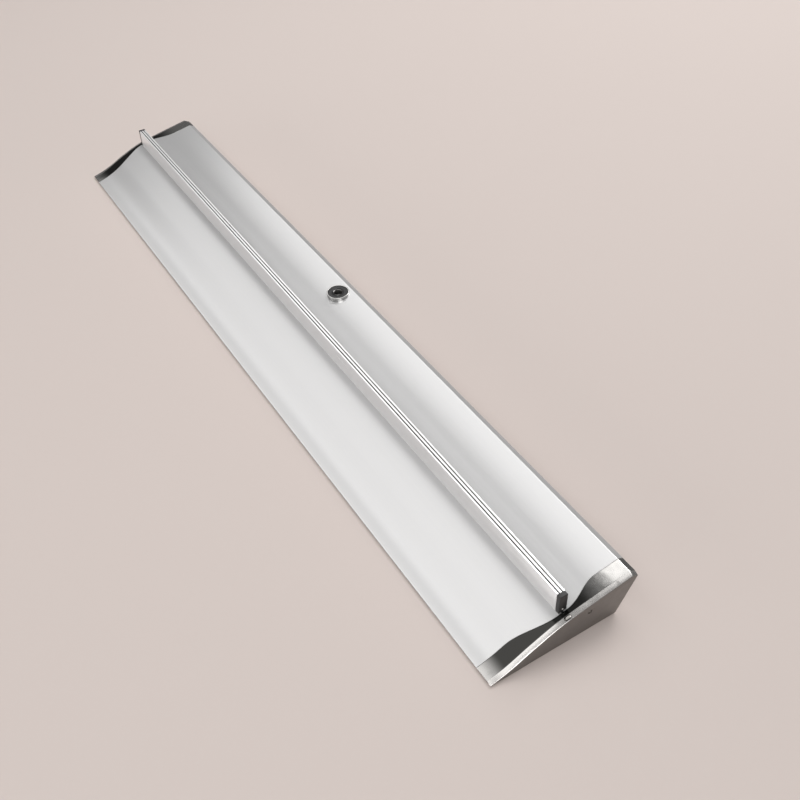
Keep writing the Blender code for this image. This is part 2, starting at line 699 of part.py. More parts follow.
def rail_plug(name, side, look, rail):
    """Closes the rail's end and holds its pieces together with a tenon between the jaws."""
    start = GRAPHIC_WIDTH / 2 + GAP
    end = start + RAIL_PLUG
    outline = [(-HALF_RAIL, -EDGE), (-HALF_RAIL + EDGE, 0), (HALF_RAIL - EDGE, 0), (HALF_RAIL, -EDGE)]
    outline += [(HALF_RAIL, above_skin(HALF_RAIL)), (-HALF_RAIL, above_skin(-HALF_RAIL))]
    body = prism(name, outline, "X", side * start, side * end)
    wide = HALF_RAIL - JAW_WALL - GAP
    low = (side * (start - 0.010), -wide, -LIP_HEIGHT + 0.0065)
    high = (side * (start + 0.001), wide, -TONGUE_BOTTOM - 0.0015)
    join(body, box("tenon", low, high))
    hole = rod("hole", side * (end - 0.002), side * (end + 0.001), STUD_RADIUS + GAP, segments=SMALL_ROUND)
    cut(body, moved(hole, 0, 0, -STUD_DEPTH))
    dress(body, look, rail)


def plug_stud(name, side, look, rail):
    """The small bright stud low in the plug's end face."""
    end = GRAPHIC_WIDTH / 2 + GAP + RAIL_PLUG
    inner, outer = end - 0.0017, end + 0.0006
    profile = [(inner, 0), (inner, STUD_RADIUS), (end, STUD_RADIUS), (outer, 0.7 * STUD_RADIUS), (outer, 0)]
    body = turned(name, [(side * x, r) for x, r in profile], segments=SMALL_ROUND)
    dress(moved(body, 0, 0, -STUD_DEPTH), look, rail, smooth=True)


def rail_pieces(looks, rail, jaw):
    half = GRAPHIC_WIDTH / 2
    dress(prism("rail_front_jaw", front_jaw_outline(), "X", -half, half), looks["aluminium"], rail)
    dress(prism("rail_spine", spine_outline(), "X", -half, half), looks["aluminium"], rail)
    about_pivot = [(y - PIVOT_Y, z + PIVOT_DEPTH) for y, z in rear_jaw_outline()]
    dress(prism("rail_rear_jaw", about_pivot, "X", -half, half), looks["aluminium"], jaw)
    dress(prism("graphic_clamp_strip", clamp_strip_outline(), "X", -half, half), looks["grey_plastic"], rail)
    low = (-half, -SHEET_THICK / 2, ROLLER_Z - RAIL_TOP)
    high = (half, SHEET_THICK / 2, -LIP_HEIGHT + 0.0045)
    dress(box("graphic_sheet", low, high), looks["film"], rail)
    for name, side in (("near", 1), ("far", -1)):
        rail_plug("rail_plug_" + name, side, looks["black_plastic"], rail)
        plug_stud("plug_stud_" + name, side, looks["steel"], rail)


# ---- the stowed pole --------------------------------------------------------------------------


def pole_section(name, y, look, stand):
    half = POLE_LENGTH / 2
    body = sleeve(name, -half, half, POLE_RADIUS - POLE_WALL, POLE_RADIUS, segments=24)
    dress(moved(body, 0, y, POLE_Z), look, stand, smooth=True)


def stepped_rod(name, inner_length, inner_radius, outer_length, outer_radius):
    """Starts inside a tube's end and comes out of it at another radius."""
    profile = [(-inner_length, 0), (-inner_length, inner_radius), (0, inner_radius)]
    profile += [(0, outer_radius), (outer_length, outer_radius), (outer_length, 0)]
    return turned(name, profile, segments=24)


def pole_fittings(looks, stand):
    inside = POLE_RADIUS - POLE_WALL - GAP
    half = POLE_LENGTH / 2
    for name, y in (("pole_ferrule_lower", POLE_Y[0]), ("pole_ferrule_middle", POLE_Y[1])):
        body = rod(name, -FERRULE_IN, FERRULE_OUT, inside, segments=24)
        dress(moved(body, half, y, POLE_Z), looks["steel"], stand, smooth=True)
    spigot = stepped_rod("pole_spigot", 0.012, inside, SPIGOT_OUT, SOCKET_BORE - GAP)
    spigot.rotation_euler = (0, 0, math.pi)
    dress(moved(spigot, -half, POLE_Y[0], POLE_Z), looks["black_plastic"], stand, smooth=True)


def pole_hook(look, stand):
    """The top fitting that hooks over the rail, lying on its side."""
    inside = POLE_RADIUS - POLE_WALL - GAP
    body = rod("pole_hook", -FERRULE_IN, 0.001, inside, segments=24)
    notch = RAIL_THICK + 2 * GAP
    start = HOOK_LENGTH - notch - 0.005
    low, high = -POLE_RADIUS, POLE_RADIUS
    outline = [(GAP, low), (GAP, high), (HOOK_LENGTH, high), (HOOK_LENGTH, low), (HOOK_LENGTH - 0.005, low)]
    outline += [(HOOK_LENGTH - 0.005, high - 0.004), (start, high - 0.004), (start, low)]
    join(body, prism("head", outline, "Y", -POLE_RADIUS, POLE_RADIUS))
    dress(moved(body, POLE_LENGTH / 2, POLE_Y[2], POLE_Z), look, stand)


def pole_clip(name, x, look, stand):
    """A block wedged under the front skin with three open rings that the pole's sections snap into."""
    front, back = POLE_Y[0] - POLE_RADIUS - 0.0015, WEB_FRONT - GAP
    outline = top_line(front, back, 14, WALL + GAP) + [(back, CLIP_BOTTOM), (front, CLIP_BOTTOM)]
    body = prism(name, outline, "X", x - CLIP_WIDTH / 2, x + CLIP_WIDTH / 2)
    for y in POLE_Y:
        hole = rod("hole", x - CLIP_WIDTH, x + CLIP_WIDTH, POLE_RADIUS + GAP, segments=24)
        cut(body, moved(hole, 0, y, POLE_Z))
    dress(body, look, stand)


# ---- the whole stand --------------------------------------------------------------------------


def make_looks():
    return {
        "aluminium": material("satin_aluminium", (0.80, 0.80, 0.81), 0.34, 1.0),
        "chrome": material("chrome", (0.55, 0.54, 0.52), 0.12, 1.0),
        "black_plastic": material("black_plastic", (0.015, 0.015, 0.016), 0.30, 0.0),
        "grey_plastic": material("grey_plastic", (0.12, 0.12, 0.12), 0.50, 0.0),
        "steel": material("steel", (0.55, 0.55, 0.56), 0.28, 1.0),
        "film": material("white_film", (0.86, 0.86, 0.84), 0.45, 0.0),
        "rubber": material("rubber", (0.02, 0.02, 0.02), 0.85, 0.0),
    }


def build():
    clear_scene()
    looks = make_looks()
    stand = empty("stand", None, 0, -BASE_DEPTH / 2, STAND_HEIGHT)
    roller = empty("roller_axis", stand, 0, ROLLER_Y, ROLLER_Z)
    rail = empty("rail_middle", stand, 0, RAIL_Y, RAIL_TOP)
    jaw = empty("jaw_axis", rail, 0, PIVOT_Y, -PIVOT_DEPTH)
    housing(looks["aluminium"], stand)
    for name, side in (("near", 1), ("far", -1)):
        bore = shaft_bore(side) if side > 0 else pin_bore(side)
        end_cap("end_cap_" + name, side, looks["chrome"], stand)
        bracket("roller_bracket_" + name, side, bore, looks["grey_plastic"], stand)
        cap_screw("cap_screw_" + name, side, looks["steel"], stand)
        for place, y in zip(("front", "back"), FOOT_SCREW_Y):
            foot_screw(f"bracket_screw_{place}_{name}", side, y, looks["steel"], stand)
        pole_clip("pole_clip_" + name, side * CLIP_X, looks["black_plastic"], stand)
        for place, y in zip(("front", "back"), PAD_Y):
            foot_pad(f"foot_pad_{place}_{name}", side * PAD_X, y, looks["rubber"], stand)
    socket_collar(looks["chrome"], stand)
    socket_insert(looks["black_plastic"], stand)
    socket_bush(looks["steel"], stand)
    release_button(looks["chrome"], looks["steel"], stand)
    spring_shaft(looks["steel"], stand)
    spring_collar(looks["grey_plastic"], stand)
    idler_pin(looks["steel"], stand)
    roller_pieces(looks, roller)
    rail_pieces(looks, rail, jaw)
    for name, y in zip(("pole_lower", "pole_middle", "pole_upper"), POLE_Y):
        pole_section(name, y, looks["aluminium"], stand)
    pole_fittings(looks, stand)
    pole_hook(looks["black_plastic"], stand)


build()
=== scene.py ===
# %% [markdown]
# # A roll-up banner stand, closed
# The stand is a low wedge of satin aluminium with chrome end caps, a clamp rail along its top and a socket for
# its pole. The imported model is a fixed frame: every piece here is made where that frame says, in metres.
# The frame is loaded first, and its box is kept so that the finished looks can be compared with it. Sizes that
# the frame already holds are read from the boxes of its nodes.

import math

import bmesh
import bpy
from mathutils import Matrix, Vector


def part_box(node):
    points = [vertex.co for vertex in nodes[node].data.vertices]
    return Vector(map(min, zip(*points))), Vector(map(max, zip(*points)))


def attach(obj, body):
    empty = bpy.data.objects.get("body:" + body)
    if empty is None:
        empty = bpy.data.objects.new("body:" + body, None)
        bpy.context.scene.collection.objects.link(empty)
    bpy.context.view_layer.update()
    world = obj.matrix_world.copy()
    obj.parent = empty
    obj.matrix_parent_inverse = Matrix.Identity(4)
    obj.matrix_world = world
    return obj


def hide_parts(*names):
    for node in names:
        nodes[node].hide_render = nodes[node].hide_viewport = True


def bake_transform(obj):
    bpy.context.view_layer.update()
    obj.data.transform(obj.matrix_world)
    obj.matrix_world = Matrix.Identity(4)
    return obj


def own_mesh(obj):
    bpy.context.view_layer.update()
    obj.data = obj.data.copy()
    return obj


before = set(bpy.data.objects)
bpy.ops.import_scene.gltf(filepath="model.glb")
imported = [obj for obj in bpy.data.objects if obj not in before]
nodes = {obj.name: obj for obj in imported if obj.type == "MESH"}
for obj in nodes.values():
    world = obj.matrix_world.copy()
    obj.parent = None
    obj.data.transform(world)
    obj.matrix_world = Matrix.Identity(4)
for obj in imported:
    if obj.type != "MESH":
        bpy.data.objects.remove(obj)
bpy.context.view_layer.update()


def centre(node):
    low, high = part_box(node)
    return (low + high) / 2


# %% [markdown]
# ## The camera
# A camera is a place, a direction and a lens. It could aim itself with a constraint, but three axes written
# out keep the view exact: to the right, upward, and out of the back of the camera.

# %% Place the camera
EYE = Vector((0.8860, -0.36935, 0.7935))
TO_RIGHT = Vector((0.52642, 0.84940, -0.03740))
UPWARD = Vector((-0.57148, 0.38605, 0.72414))
LENS = 45.46

camera = bpy.data.objects.new("camera", bpy.data.cameras.new("camera"))
bpy.context.scene.collection.objects.link(camera)
axes = (TO_RIGHT.normalized(), UPWARD.normalized(), TO_RIGHT.cross(UPWARD).normalized())
camera.matrix_world = Matrix.Translation(EYE) @ Matrix(axes).transposed().to_4x4()
camera.data.lens, camera.data.sensor_width = LENS, 36
camera.data.clip_start, camera.data.clip_end = 0.01, 50
bpy.context.scene.camera = camera
print("camera looks along", tuple(round(v, 3) for v in -axes[2]))

# %% [markdown]
# ## Writing node maths as Python
# Every finish below is a small net of nodes. Wiring them one call at a time hides the idea, so this class
# wraps a socket: `1 - mask * 0.3` then adds its Math nodes by itself. One method, `node`, makes every other
# kind of node, its settings first and then the values or links of its sockets.


# %% A socket that does sums
class Wire:
    """A node's output that can be used in sums. With no socket it only makes nodes."""

    def __init__(self, tree, socket=None):
        self.tree, self.socket = tree, socket

    def node(self, kind, settings=None, values=None, out=0):
        made = self.tree.nodes.new(kind)
        for name, value in (settings or {}).items():
            if name == "stops":
                for k, (where, shade) in enumerate(value):
                    stops = made.color_ramp.elements
                    stop = stops[k] if k < len(stops) else stops.new(where)
                    stop.position, stop.color = where, (*shade, 1)
            else:
                setattr(made, name, value)
        for name, value in (values or {}).items():
            if isinstance(value, Wire):
                self.tree.links.new(value.socket, made.inputs[name])
            else:
                made.inputs[name].default_value = value
        return Wire(self.tree, made.outputs[out])

    def sum(self, operation, first, second=0.0):
        return self.node("ShaderNodeMath", {"operation": operation}, {0: first, 1: second})

    def __add__(self, other):
        return self.sum("ADD", self, other)

    def __sub__(self, other):
        return self.sum("SUBTRACT", self, other)

    def __rsub__(self, other):
        return self.sum("SUBTRACT", other, self)

    def __mul__(self, other):
        return self.sum("MULTIPLY", self, other)

    def __truediv__(self, other):
        return self.sum("DIVIDE", self, other)

    def __gt__(self, other):
        return self.sum("GREATER_THAN", self, other)

    __radd__, __rmul__ = __add__, __mul__

    def size(self):
        return self.sum("ABSOLUTE", self)

    def between(self, low, high):
        """0 below low and 1 above high, with a smooth step between."""
        values = {"Value": self, "From Min": low, "From Max": high}
        return self.node("ShaderNodeMapRange", {"interpolation_type": "SMOOTHSTEP"}, values)


# %% [markdown]
# ## The parts of a finish
# A finish is never one flat colour. Each has a grain: noise on Object coordinates, stretched the way the
# piece was drawn, turned or moulded. The grain bends the surface a little through a Bump node, and moves the
# roughness and the colour by a few per cent.


# %% Helpers for finishes
def place(wire):
    return wire.node("ShaderNodeTexCoord", out="Object")


def split(wire, vector):
    """The three parts of a vector, each as a wire."""
    made = wire.node("ShaderNodeSeparateXYZ", values={0: vector}).socket.node
    return [Wire(wire.tree, plug) for plug in made.outputs]


def grain(wire, stretch, scale=1.0, detail=3.0):
    """Noise from 0 to 1 whose grains are longer where the stretch is smaller."""
    spread = wire.node("ShaderNodeMapping", values={"Vector": place(wire), "Scale": stretch})
    return wire.node("ShaderNodeTexNoise", values={"Vector": spread, "Scale": scale, "Detail": detail})


def blend_colour(wire, share, first, second):
    settings = {"data_type": "RGBA"}
    first, second = [c if isinstance(c, Wire) else (*c, 1) for c in (first, second)]
    return wire.node("ShaderNodeMix", settings, {0: share, 6: first, 7: second}, out=2)


def tones(colour, low, high):
    """A darker and a lighter tone of one colour."""
    return [low * c for c in colour], [high * c for c in colour]


def finish(name, metallic=0.0):
    """A new material, and the function that plugs its varying parts into its shader."""
    made = bpy.data.materials.new(name)
    made.use_nodes = True
    shader = made.node_tree.nodes["Principled BSDF"]
    shader.inputs["Metallic"].default_value = metallic
    wire = Wire(made.node_tree)

    def wear(colour, roughness, height, depth):
        bump = wire.node("ShaderNodeBump", values={"Height": height, "Distance": depth, "Strength": 1.0})
        for label, value in (("Base Color", colour), ("Roughness", roughness), ("Normal", bump)):
            made.node_tree.links.new(value.socket, shader.inputs[label])
        print("finish", name, "with", len(made.node_tree.nodes), "nodes")
        return made

    return wire, wear


# %% [markdown]
# ## Satin aluminium
# The base and the rail are aluminium extrusions, anodised to a soft satin. The die leaves very fine lines
# along the length, so the grain is more than half a metre long and about a millimetre wide. A second, broad
# noise gives the faint cloudiness of an anodised coat. On the rail the two grooves beside the spine get painted
# shade: their colour is darkened, since little light reaches into them. The mask is a depth below the rail's
# top and a distance from its middle.

# %% Make the satin aluminium
ALUMINIUM = (0.77, 0.77, 0.775)
# painted shade: the dark colour put into the rail's grooves
GROOVE_SHADE_COLOUR = (0.10, 0.10, 0.10)
GROOVE_FADE, GROOVE_REACH = (0.0002, 0.0009), (0.0026, 0.0028)
RAIL_TOP, RAIL_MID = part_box("rail_spine")[1].z, centre("rail_spine").y


def satin_aluminium(name, colour=ALUMINIUM, rough=0.22, metallic=0.6, painted_groove_shade=False):
    wire, wear = finish(name, metallic=metallic)
    lines = grain(wire, (1.5, 900.0, 900.0), detail=4.0)
    clouds = grain(wire, (3.0, 14.0, 14.0), detail=2.0)
    shade = blend_colour(wire, lines * 0.5 + clouds * 0.5, *tones(colour, 0.95, 1.04))
    if painted_groove_shade:
        x, y, z = split(wire, place(wire))
        # painted shade: the colour in the two grooves is darkened where little light reaches
        inside = 1 - (y - RAIL_MID).size().between(*GROOVE_REACH)
        shade = blend_colour(wire, (RAIL_TOP - z).between(*GROOVE_FADE) * inside, shade, GROOVE_SHADE_COLOUR)
    return wear(shade, rough - 0.05 + lines * 0.06 + clouds * 0.04, lines, 0.000004)


aluminium = satin_aluminium("satin_aluminium")
rail_aluminium = satin_aluminium("rail_aluminium", (0.97, 0.97, 0.975), 0.26, 0.4, painted_groove_shade=True)
tube_aluminium = satin_aluminium("drawn_tube", metallic=0.9)

# %% [markdown]
# ## Chrome
# The end caps are chrome-plated mouldings. Plating over plastic is never dead flat, so a slow noise bends the
# reflections a little, and a finer one leaves faint smudges in the gloss. Masks along X and Y tell a cap's
# areas apart: the dark lip beside the aluminium, the pale bevelled rim, and the satin plate of the outer face.
# The lip's colour is also made lighter towards the toe and the back, a painted reflection of the studio's light.

# %% Make the chrome
CAP_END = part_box("end_cap_near")[1].x
DARK_CHROME = (0.055, 0.054, 0.051)
BRIGHT_CHROME = (0.60, 0.595, 0.585)
# painted reflection: the lighter colour of the lip towards the toe and the back
LIT_ENDS_COLOUR = (0.62, 0.61, 0.595)
CAP_RIM = (0.82, 0.80, 0.78)
CAP_FACE = (0.26, 0.25, 0.24)
RIM_EDGE, FACE_EDGE = (CAP_END - 0.0055, CAP_END - 0.0050), (CAP_END - 0.00025, CAP_END - 0.00005)
TOE_LIGHT_FADE, BACK_LIGHT_FADE = (0.064, 0.086), (0.018, 0.054)


def chrome(name, colour, face=False):
    wire, wear = finish(name, metallic=1.0)
    waves = grain(wire, (30.0, 30.0, 30.0), detail=2.0)
    smudges = grain(wire, (140.0, 140.0, 140.0), detail=5.0)
    shade = blend_colour(wire, smudges, *tones(colour, 0.94, 1.0))
    rough = 0.07 + smudges.between(0.35, 0.75) * 0.06
    height = waves
    if face:
        x, y, z = split(wire, place(wire))
        # painted reflection: the lip's colour is made lighter towards the toe and the back
        ends = (RAIL_MID - y).between(*TOE_LIGHT_FADE) + (y - RAIL_MID).between(*BACK_LIGHT_FADE)
        shade = blend_colour(wire, ends, shade, LIT_ENDS_COLOUR)
        rim, flat = x.size().between(*RIM_EDGE), x.size().between(*FACE_EDGE)
        shade = blend_colour(wire, rim, shade, CAP_RIM)
        speckle = grain(wire, (2500.0, 2500.0, 2500.0), detail=2.0)
        dull = blend_colour(wire, speckle, *tones(CAP_FACE, 0.85, 1.15))
        shade = blend_colour(wire, flat, shade, dull)
        rough = rough + rim * 0.12 + flat * (0.16 + speckle * 0.1)
        height = waves + flat * speckle * 0.05
    return wear(shade, rough, height, 0.00006)


cap_chrome = chrome("cap_chrome", DARK_CHROME, face=True)
bright_chrome = chrome("bright_chrome", BRIGHT_CHROME)
button_chrome = chrome("button_chrome", CAP_FACE)

# %% [markdown]
# ## Plastics, steel, film and rubber
# Moulded plastic takes the fine spark texture of its tool. Turned steel keeps rings or lines from the tool
# that cut it. The graphic is a smooth coated film, and the pads are dull rubber with a coarse grain.


# %% Make the other finishes
def moulded(name, colour, rough, depth=0.00002, spark=1800.0, contrast=0.3):
    wire, wear = finish(name)
    texture = grain(wire, (spark, spark, spark), detail=3.0)
    blotch = grain(wire, (60.0, 60.0, 60.0), detail=3.0)
    shade = blend_colour(wire, texture * 0.4 + blotch * 0.6, *tones(colour, 1 - contrast, 1 + contrast))
    return wear(shade, rough + blotch * 0.08 + texture * 0.06, texture, depth)


STEEL_TONES = (0.50, 0.49, 0.48), (0.66, 0.655, 0.65)


def turned_steel(name, rough=0.22, light=1.0):
    wire, wear = finish(name, metallic=1.0)
    rings = grain(wire, (1600.0, 260.0, 260.0), detail=3.0)
    tarnish = grain(wire, (90.0, 90.0, 90.0), detail=4.0)
    shade = blend_colour(wire, tarnish, *([light * c for c in tone] for tone in STEEL_TONES))
    return wear(shade, rough + rings * 0.08 + tarnish * 0.06, rings, 0.000015)


black_plastic = moulded("black_plastic", (0.012, 0.012, 0.013), 0.22)
plug_plastic = moulded("plug_plastic", (0.030, 0.029, 0.029), 0.38, depth=0.00005, spark=1200.0)
grey_plastic = moulded("grey_plastic", (0.12, 0.12, 0.12), 0.42)
film = moulded("coated_film", (0.82, 0.82, 0.80), 0.34, depth=0.000004, spark=500.0, contrast=0.05)
rubber = moulded("rubber", (0.020, 0.020, 0.020), 0.72, depth=0.00006, spark=900.0)
steel = turned_steel("turned_steel")
dark_steel = turned_steel("blackened_steel", 0.24, 0.75)

# %% [markdown]
# ## Rules that give the base its shape
# The base is one outline drawn along X. Its top is a smooth curve through a few shares of depth and height,
# and its ends follow an S-curve seen from above, so the chrome reaches further in at the front and the back.
# Depths and heights are worked out from the base's front bottom edge and moved into the frame at the end.

# %% The base's sizes and its top curve
_, FRONT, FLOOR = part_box("housing_extrusion")[0]
SKIN_END, BACK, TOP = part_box("housing_extrusion")[1]
DEPTH, TALL = BACK - FRONT, TOP - FLOOR
WALL, GAP = 0.002, 0.0003
FOOT_DEPTH = DEPTH - 0.0215
BACK_EDGE = TALL - 0.003
TOP_BACK = DEPTH - 0.0065
BAY_FRONT = 0.014
KNOTS = ((0.0, 0.026), (0.115, 0.152), (0.288, 0.435), (0.48, 0.693), (0.72, 0.861), (0.96, 1.0))
RAIL_Y = RAIL_MID - FRONT
print("base", [round(1000 * v, 1) for v in (DEPTH, TALL)], "rail at depth", round(1000 * RAIL_Y, 2))


def knot_slope(i):
    low, high = max(i - 1, 0), min(i + 1, len(KNOTS) - 1)
    return (KNOTS[high][1] - KNOTS[low][1]) / (KNOTS[high][0] - KNOTS[low][0])


def top_height(y):
    """Height of the base's top at a depth: a cubic between each two knots."""
    share = y / DEPTH
    i = 0
    while i < len(KNOTS) - 2 and share > KNOTS[i + 1][0]:
        i += 1
    (u0, v0), (u1, v1) = KNOTS[i], KNOTS[i + 1]
    t = (share - u0) / (u1 - u0)
    rise = (2 * t**3 - 3 * t**2 + 1) * v0 + (3 * t**2 - 2 * t**3) * v1
    lean = (t**3 - 2 * t**2 + t) * knot_slope(i) + (t**3 - t**2) * knot_slope(i + 1)
    return TALL * (rise + (u1 - u0) * lean)


def under_top(y, inset):
    slope = (top_height(y + 0.0005) - top_height(y - 0.0005)) / 0.001
    return top_height(y) - inset * math.hypot(1, slope)


def back_wall(z, inset=0.0):
    lean = (DEPTH - FOOT_DEPTH) / BACK_EDGE
    return FOOT_DEPTH + lean * z - inset * math.hypot(1, lean)


def spread(start, end, count):
    return [start + (end - start) * i / (count - 1) for i in range(count)]


def top_line(start, end, count, inset=0.0):
    return [(y, under_top(y, inset) if inset else top_height(y)) for y in spread(start, end, count)]


# %% [markdown]
# ## Softening corners
# Real edges are never knife-sharp, and it is the tiny round on an edge that catches the light. Extrusions are
# softened in their outline, before they get a length: each sharp corner becomes a short arc.


# %% Round the corners of an outline
def soften(outline, radius, steps=4, sharper=20.0):
    """Replaces each corner that turns by more than `sharper` degrees with an arc, limited by its two sides."""
    soft = []
    for i, corner in enumerate(outline):
        tip, before, after = Vector(corner), Vector(outline[i - 1]), Vector(outline[(i + 1) % len(outline)])
        back, ahead = before - tip, after - tip
        turn = math.pi - back.angle(ahead)
        reach = min(radius * math.tan(turn / 2), 0.45 * back.length, 0.45 * ahead.length)
        if turn < math.radians(sharper):
            soft.append(corner)
            continue
        start, end = tip + back.normalized() * reach, tip + ahead.normalized() * reach
        for k in range(steps + 1):
            t = k / steps
            soft.append(tuple(start * (1 - t) ** 2 + tip * 2 * t * (1 - t) + end * t * t))
    return soft


def inset(outline, distance):
    """The outline moved inward, each point square to its two neighbours."""
    area = sum(a[0] * b[1] - b[0] * a[1] for a, b in zip(outline, outline[1:] + outline[:1]))
    side = 1 if area > 0 else -1
    moved = []
    for i, (y, z) in enumerate(outline):
        (y0, z0), (y1, z1) = outline[i - 1], outline[(i + 1) % len(outline)]
        dy, dz = y1 - y0, z1 - z0
        length = math.hypot(dy, dz)
        moved.append((y - side * distance * dz / length, z + side * distance * dy / length))
    return moved


# %% [markdown]
# ## From points to a piece
# All mesh pieces are finished the same way: doubles merged, faces turned outward, smooth shading with sharp
# edges kept above an angle, a material, a body to ride on, and the frame's nodes that the piece stands for.
# The last lines print how far the new piece's box is from theirs, which shows at once if one is misplaced.


# %% Finish a mesh as a piece
def close(bm):
    bmesh.ops.remove_doubles(bm, verts=bm.verts, dist=1e-6)
    bmesh.ops.dissolve_degenerate(bm, edges=bm.edges, dist=1e-7)
    bmesh.ops.recalc_face_normals(bm, faces=bm.faces)


def skin(rings, closed=False):
    """A mesh over rings of points with the same count. Open rings are capped at both ends."""
    bm = bmesh.new()
    loops = [[bm.verts.new(point) for point in ring] for ring in rings]
    if not closed:
        bm.faces.new(loops[0])
        bm.faces.new(loops[-1])
    for k in range(0 if closed else 1, len(loops)):
        low, high = loops[k - 1], loops[k]
        for i in range(len(low)):
            bm.faces.new((low[i - 1], low[i], high[i], high[i - 1]))
    close(bm)
    return bm


def as_object(name, bm):
    mesh = bpy.data.meshes.new(name)
    bm.to_mesh(mesh)
    bm.free()
    thing = bpy.data.objects.new(name, mesh)
    bpy.context.scene.collection.objects.link(thing)
    return thing


def seat(thing, look, body, stands_for, angle=32.0):
    """Shades a finished piece, dresses it and gives it to its body."""
    mesh = thing.data
    mesh.materials.clear()
    mesh.materials.append(look)
    mesh.shade_smooth()
    mesh.set_sharp_from_angle(angle=math.radians(angle))
    boxes = [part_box(node) for node in stands_for]
    miss = 0.0
    for k in range(3):
        for side, limit in ((0, min), (1, max)):
            own = limit(v.co[k] for v in mesh.vertices)
            miss = max(miss, abs(own - limit(box[side][k] for box in boxes)))
    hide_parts(*stands_for)
    if body:
        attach(thing, body)
    print(f"{thing.name}: {len(mesh.polygons)} faces, box within {1000 * miss:.2f} mm")
    return thing


# %% [markdown]
# ## Cutting holes
# A Boolean modifier cuts the few round and oval holes. It is applied at once, so that each piece stays a plain
# mesh, and the cutter is thrown away.


# %% Cut one piece with another
def cut(thing, tool):
    modifier = thing.modifiers.new("cut", "BOOLEAN")
    modifier.operation, modifier.solver, modifier.object = "DIFFERENCE", "MANIFOLD", tool
    graph = bpy.context.evaluated_depsgraph_get()
    mesh = bpy.data.meshes.new_from_object(thing.evaluated_get(graph))
    thing.modifiers.remove(modifier)
    thing.data = mesh
    bpy.data.objects.remove(tool)


def turned(profile, axis="X", at=(0, 0, 0), segments=48):
    """A turned shape: each profile point is (distance along the axis, radius)."""
    rings = []
    for i in range(segments):
        angle = 2 * math.pi * i / segments
        ring = []
        for along, radius in profile:
            a, b = radius * math.cos(angle), radius * math.sin(angle)
            point = (along, a, b) if axis == "X" else (a, b, along)
            ring.append(tuple(p + q for p, q in zip(point, at)))
        rings.append(ring)
    return skin(rings, closed=True)


def drill(start, end, radius, axis, at):
    return as_object("drill", turned([(start, 0), (start, radius), (end, radius), (end, 0)], axis, at))


# %% [markdown]
# ## Geometry Nodes: a tree and a way to run it
# What repeats or follows a rule is grown by Geometry Nodes. A tree has named inputs for its sizes, and the
# modifier that runs it takes each value by the input's identifier. The grown shape is turned into a plain mesh
# and its host is removed, because a finished piece carries no live tree.


# %% Grow a mesh with a tree
def new_tree(name, **sizes):
    """An empty tree with a geometry input, a material input and one input for each size."""
    tree = bpy.data.node_groups.new(name, "GeometryNodeTree")
    tree.interface.new_socket("Geometry", in_out="OUTPUT", socket_type="NodeSocketGeometry")
    tree.interface.new_socket("Geometry", in_out="INPUT", socket_type="NodeSocketGeometry")
    tree.interface.new_socket("Look", in_out="INPUT", socket_type="NodeSocketMaterial")
    for label, kind in sizes.items():
        tree.interface.new_socket(label, in_out="INPUT", socket_type="NodeSocket" + kind)
    source = tree.nodes.new("NodeGroupInput")
    return Wire(tree), {plug.name: Wire(tree, plug) for plug in source.outputs if plug.name}


def close_tree(wire, shape, given):
    """Ends a tree: instances made real, then the material."""
    real = wire.node("GeometryNodeRealizeInstances", values={"Geometry": shape})
    dressed = wire.node("GeometryNodeSetMaterial", values={"Geometry": real, "Material": given["Look"]})
    out = wire.tree.nodes.new("NodeGroupOutput")
    wire.tree.links.new(dressed.socket, out.inputs[0])
    return wire.tree


def grow(name, tree, look, mesh=None, **sizes):
    host = bpy.data.objects.new(name + "_host", mesh or bpy.data.meshes.new(name + "_host"))
    bpy.context.scene.collection.objects.link(host)
    modifier = host.modifiers.new("grow", "NODES")
    modifier.node_group = tree
    labels = {s.name: s.identifier for s in tree.interface.items_tree if s.in_out == "INPUT"}
    modifier[labels["Look"]] = look
    for label, value in sizes.items():
        modifier[labels[label]] = value
    graph = bpy.context.evaluated_depsgraph_get()
    grown = bpy.data.meshes.new_from_object(host.evaluated_get(graph))
    bpy.data.objects.remove(host)
    bm = bmesh.new()
    bm.from_mesh(grown)
    close(bm)
    return as_object(name, bm)


# %% [markdown]
# ## The extrusion tree
# An extrusion is an outline drawn along a line. The tree turns the host's outline into a curve, sweeps it
# along X from -1 to 1, and then moves every point out to the length that its own depth asks for. With no lip
# the ends are square; with a lip they follow the base's S-curve, which the smooth step of a Map Range gives.

# %% Build the extrusion tree
LENGTHS = ("Half Length", "Lip", "Level", "Middle", "Run Front", "Run Back")


def extrusion_tree():
    wire, given = new_tree("extrusion", Stations="Int", **{label: "Float" for label in LENGTHS})
    line = wire.node("GeometryNodeCurvePrimitiveLine", values={"Start": (-1, 0, 0), "End": (1, 0, 0)})
    line = wire.node("GeometryNodeResampleCurve", values={"Curve": line, "Count": given["Stations"]})
    outline = wire.node("GeometryNodeMeshToCurve", values={"Mesh": given["Geometry"]})
    swept = wire.node("GeometryNodeCurveToMesh", values={"Curve": line, "Profile Curve": outline, "Fill Caps": True})
    x, y, z = split(wire, wire.node("GeometryNodeInputPosition"))
    depth = y - given["Middle"]
    behind = depth > 0.0
    run = given["Run Front"] * (1 - behind) + given["Run Back"] * behind
    share = depth.size().between(given["Level"], run)
    x = x * (given["Half Length"] - given["Lip"] * share)
    placed = wire.node("ShaderNodeCombineXYZ", values={"X": x, "Y": y, "Z": z})
    swept = wire.node("GeometryNodeSetPosition", values={"Geometry": swept, "Position": placed})
    return close_tree(wire, swept, given)


EXTRUSION = extrusion_tree()


def outline_mesh(outline):
    """A closed ring of edges that a sweep lays across the X axis."""
    mesh = bpy.data.meshes.new("outline")
    count = len(outline)
    points = [(-y, -z, 0) for y, z in outline]
    mesh.from_pydata(points, [(i, (i + 1) % count) for i in range(count)], [])
    return mesh


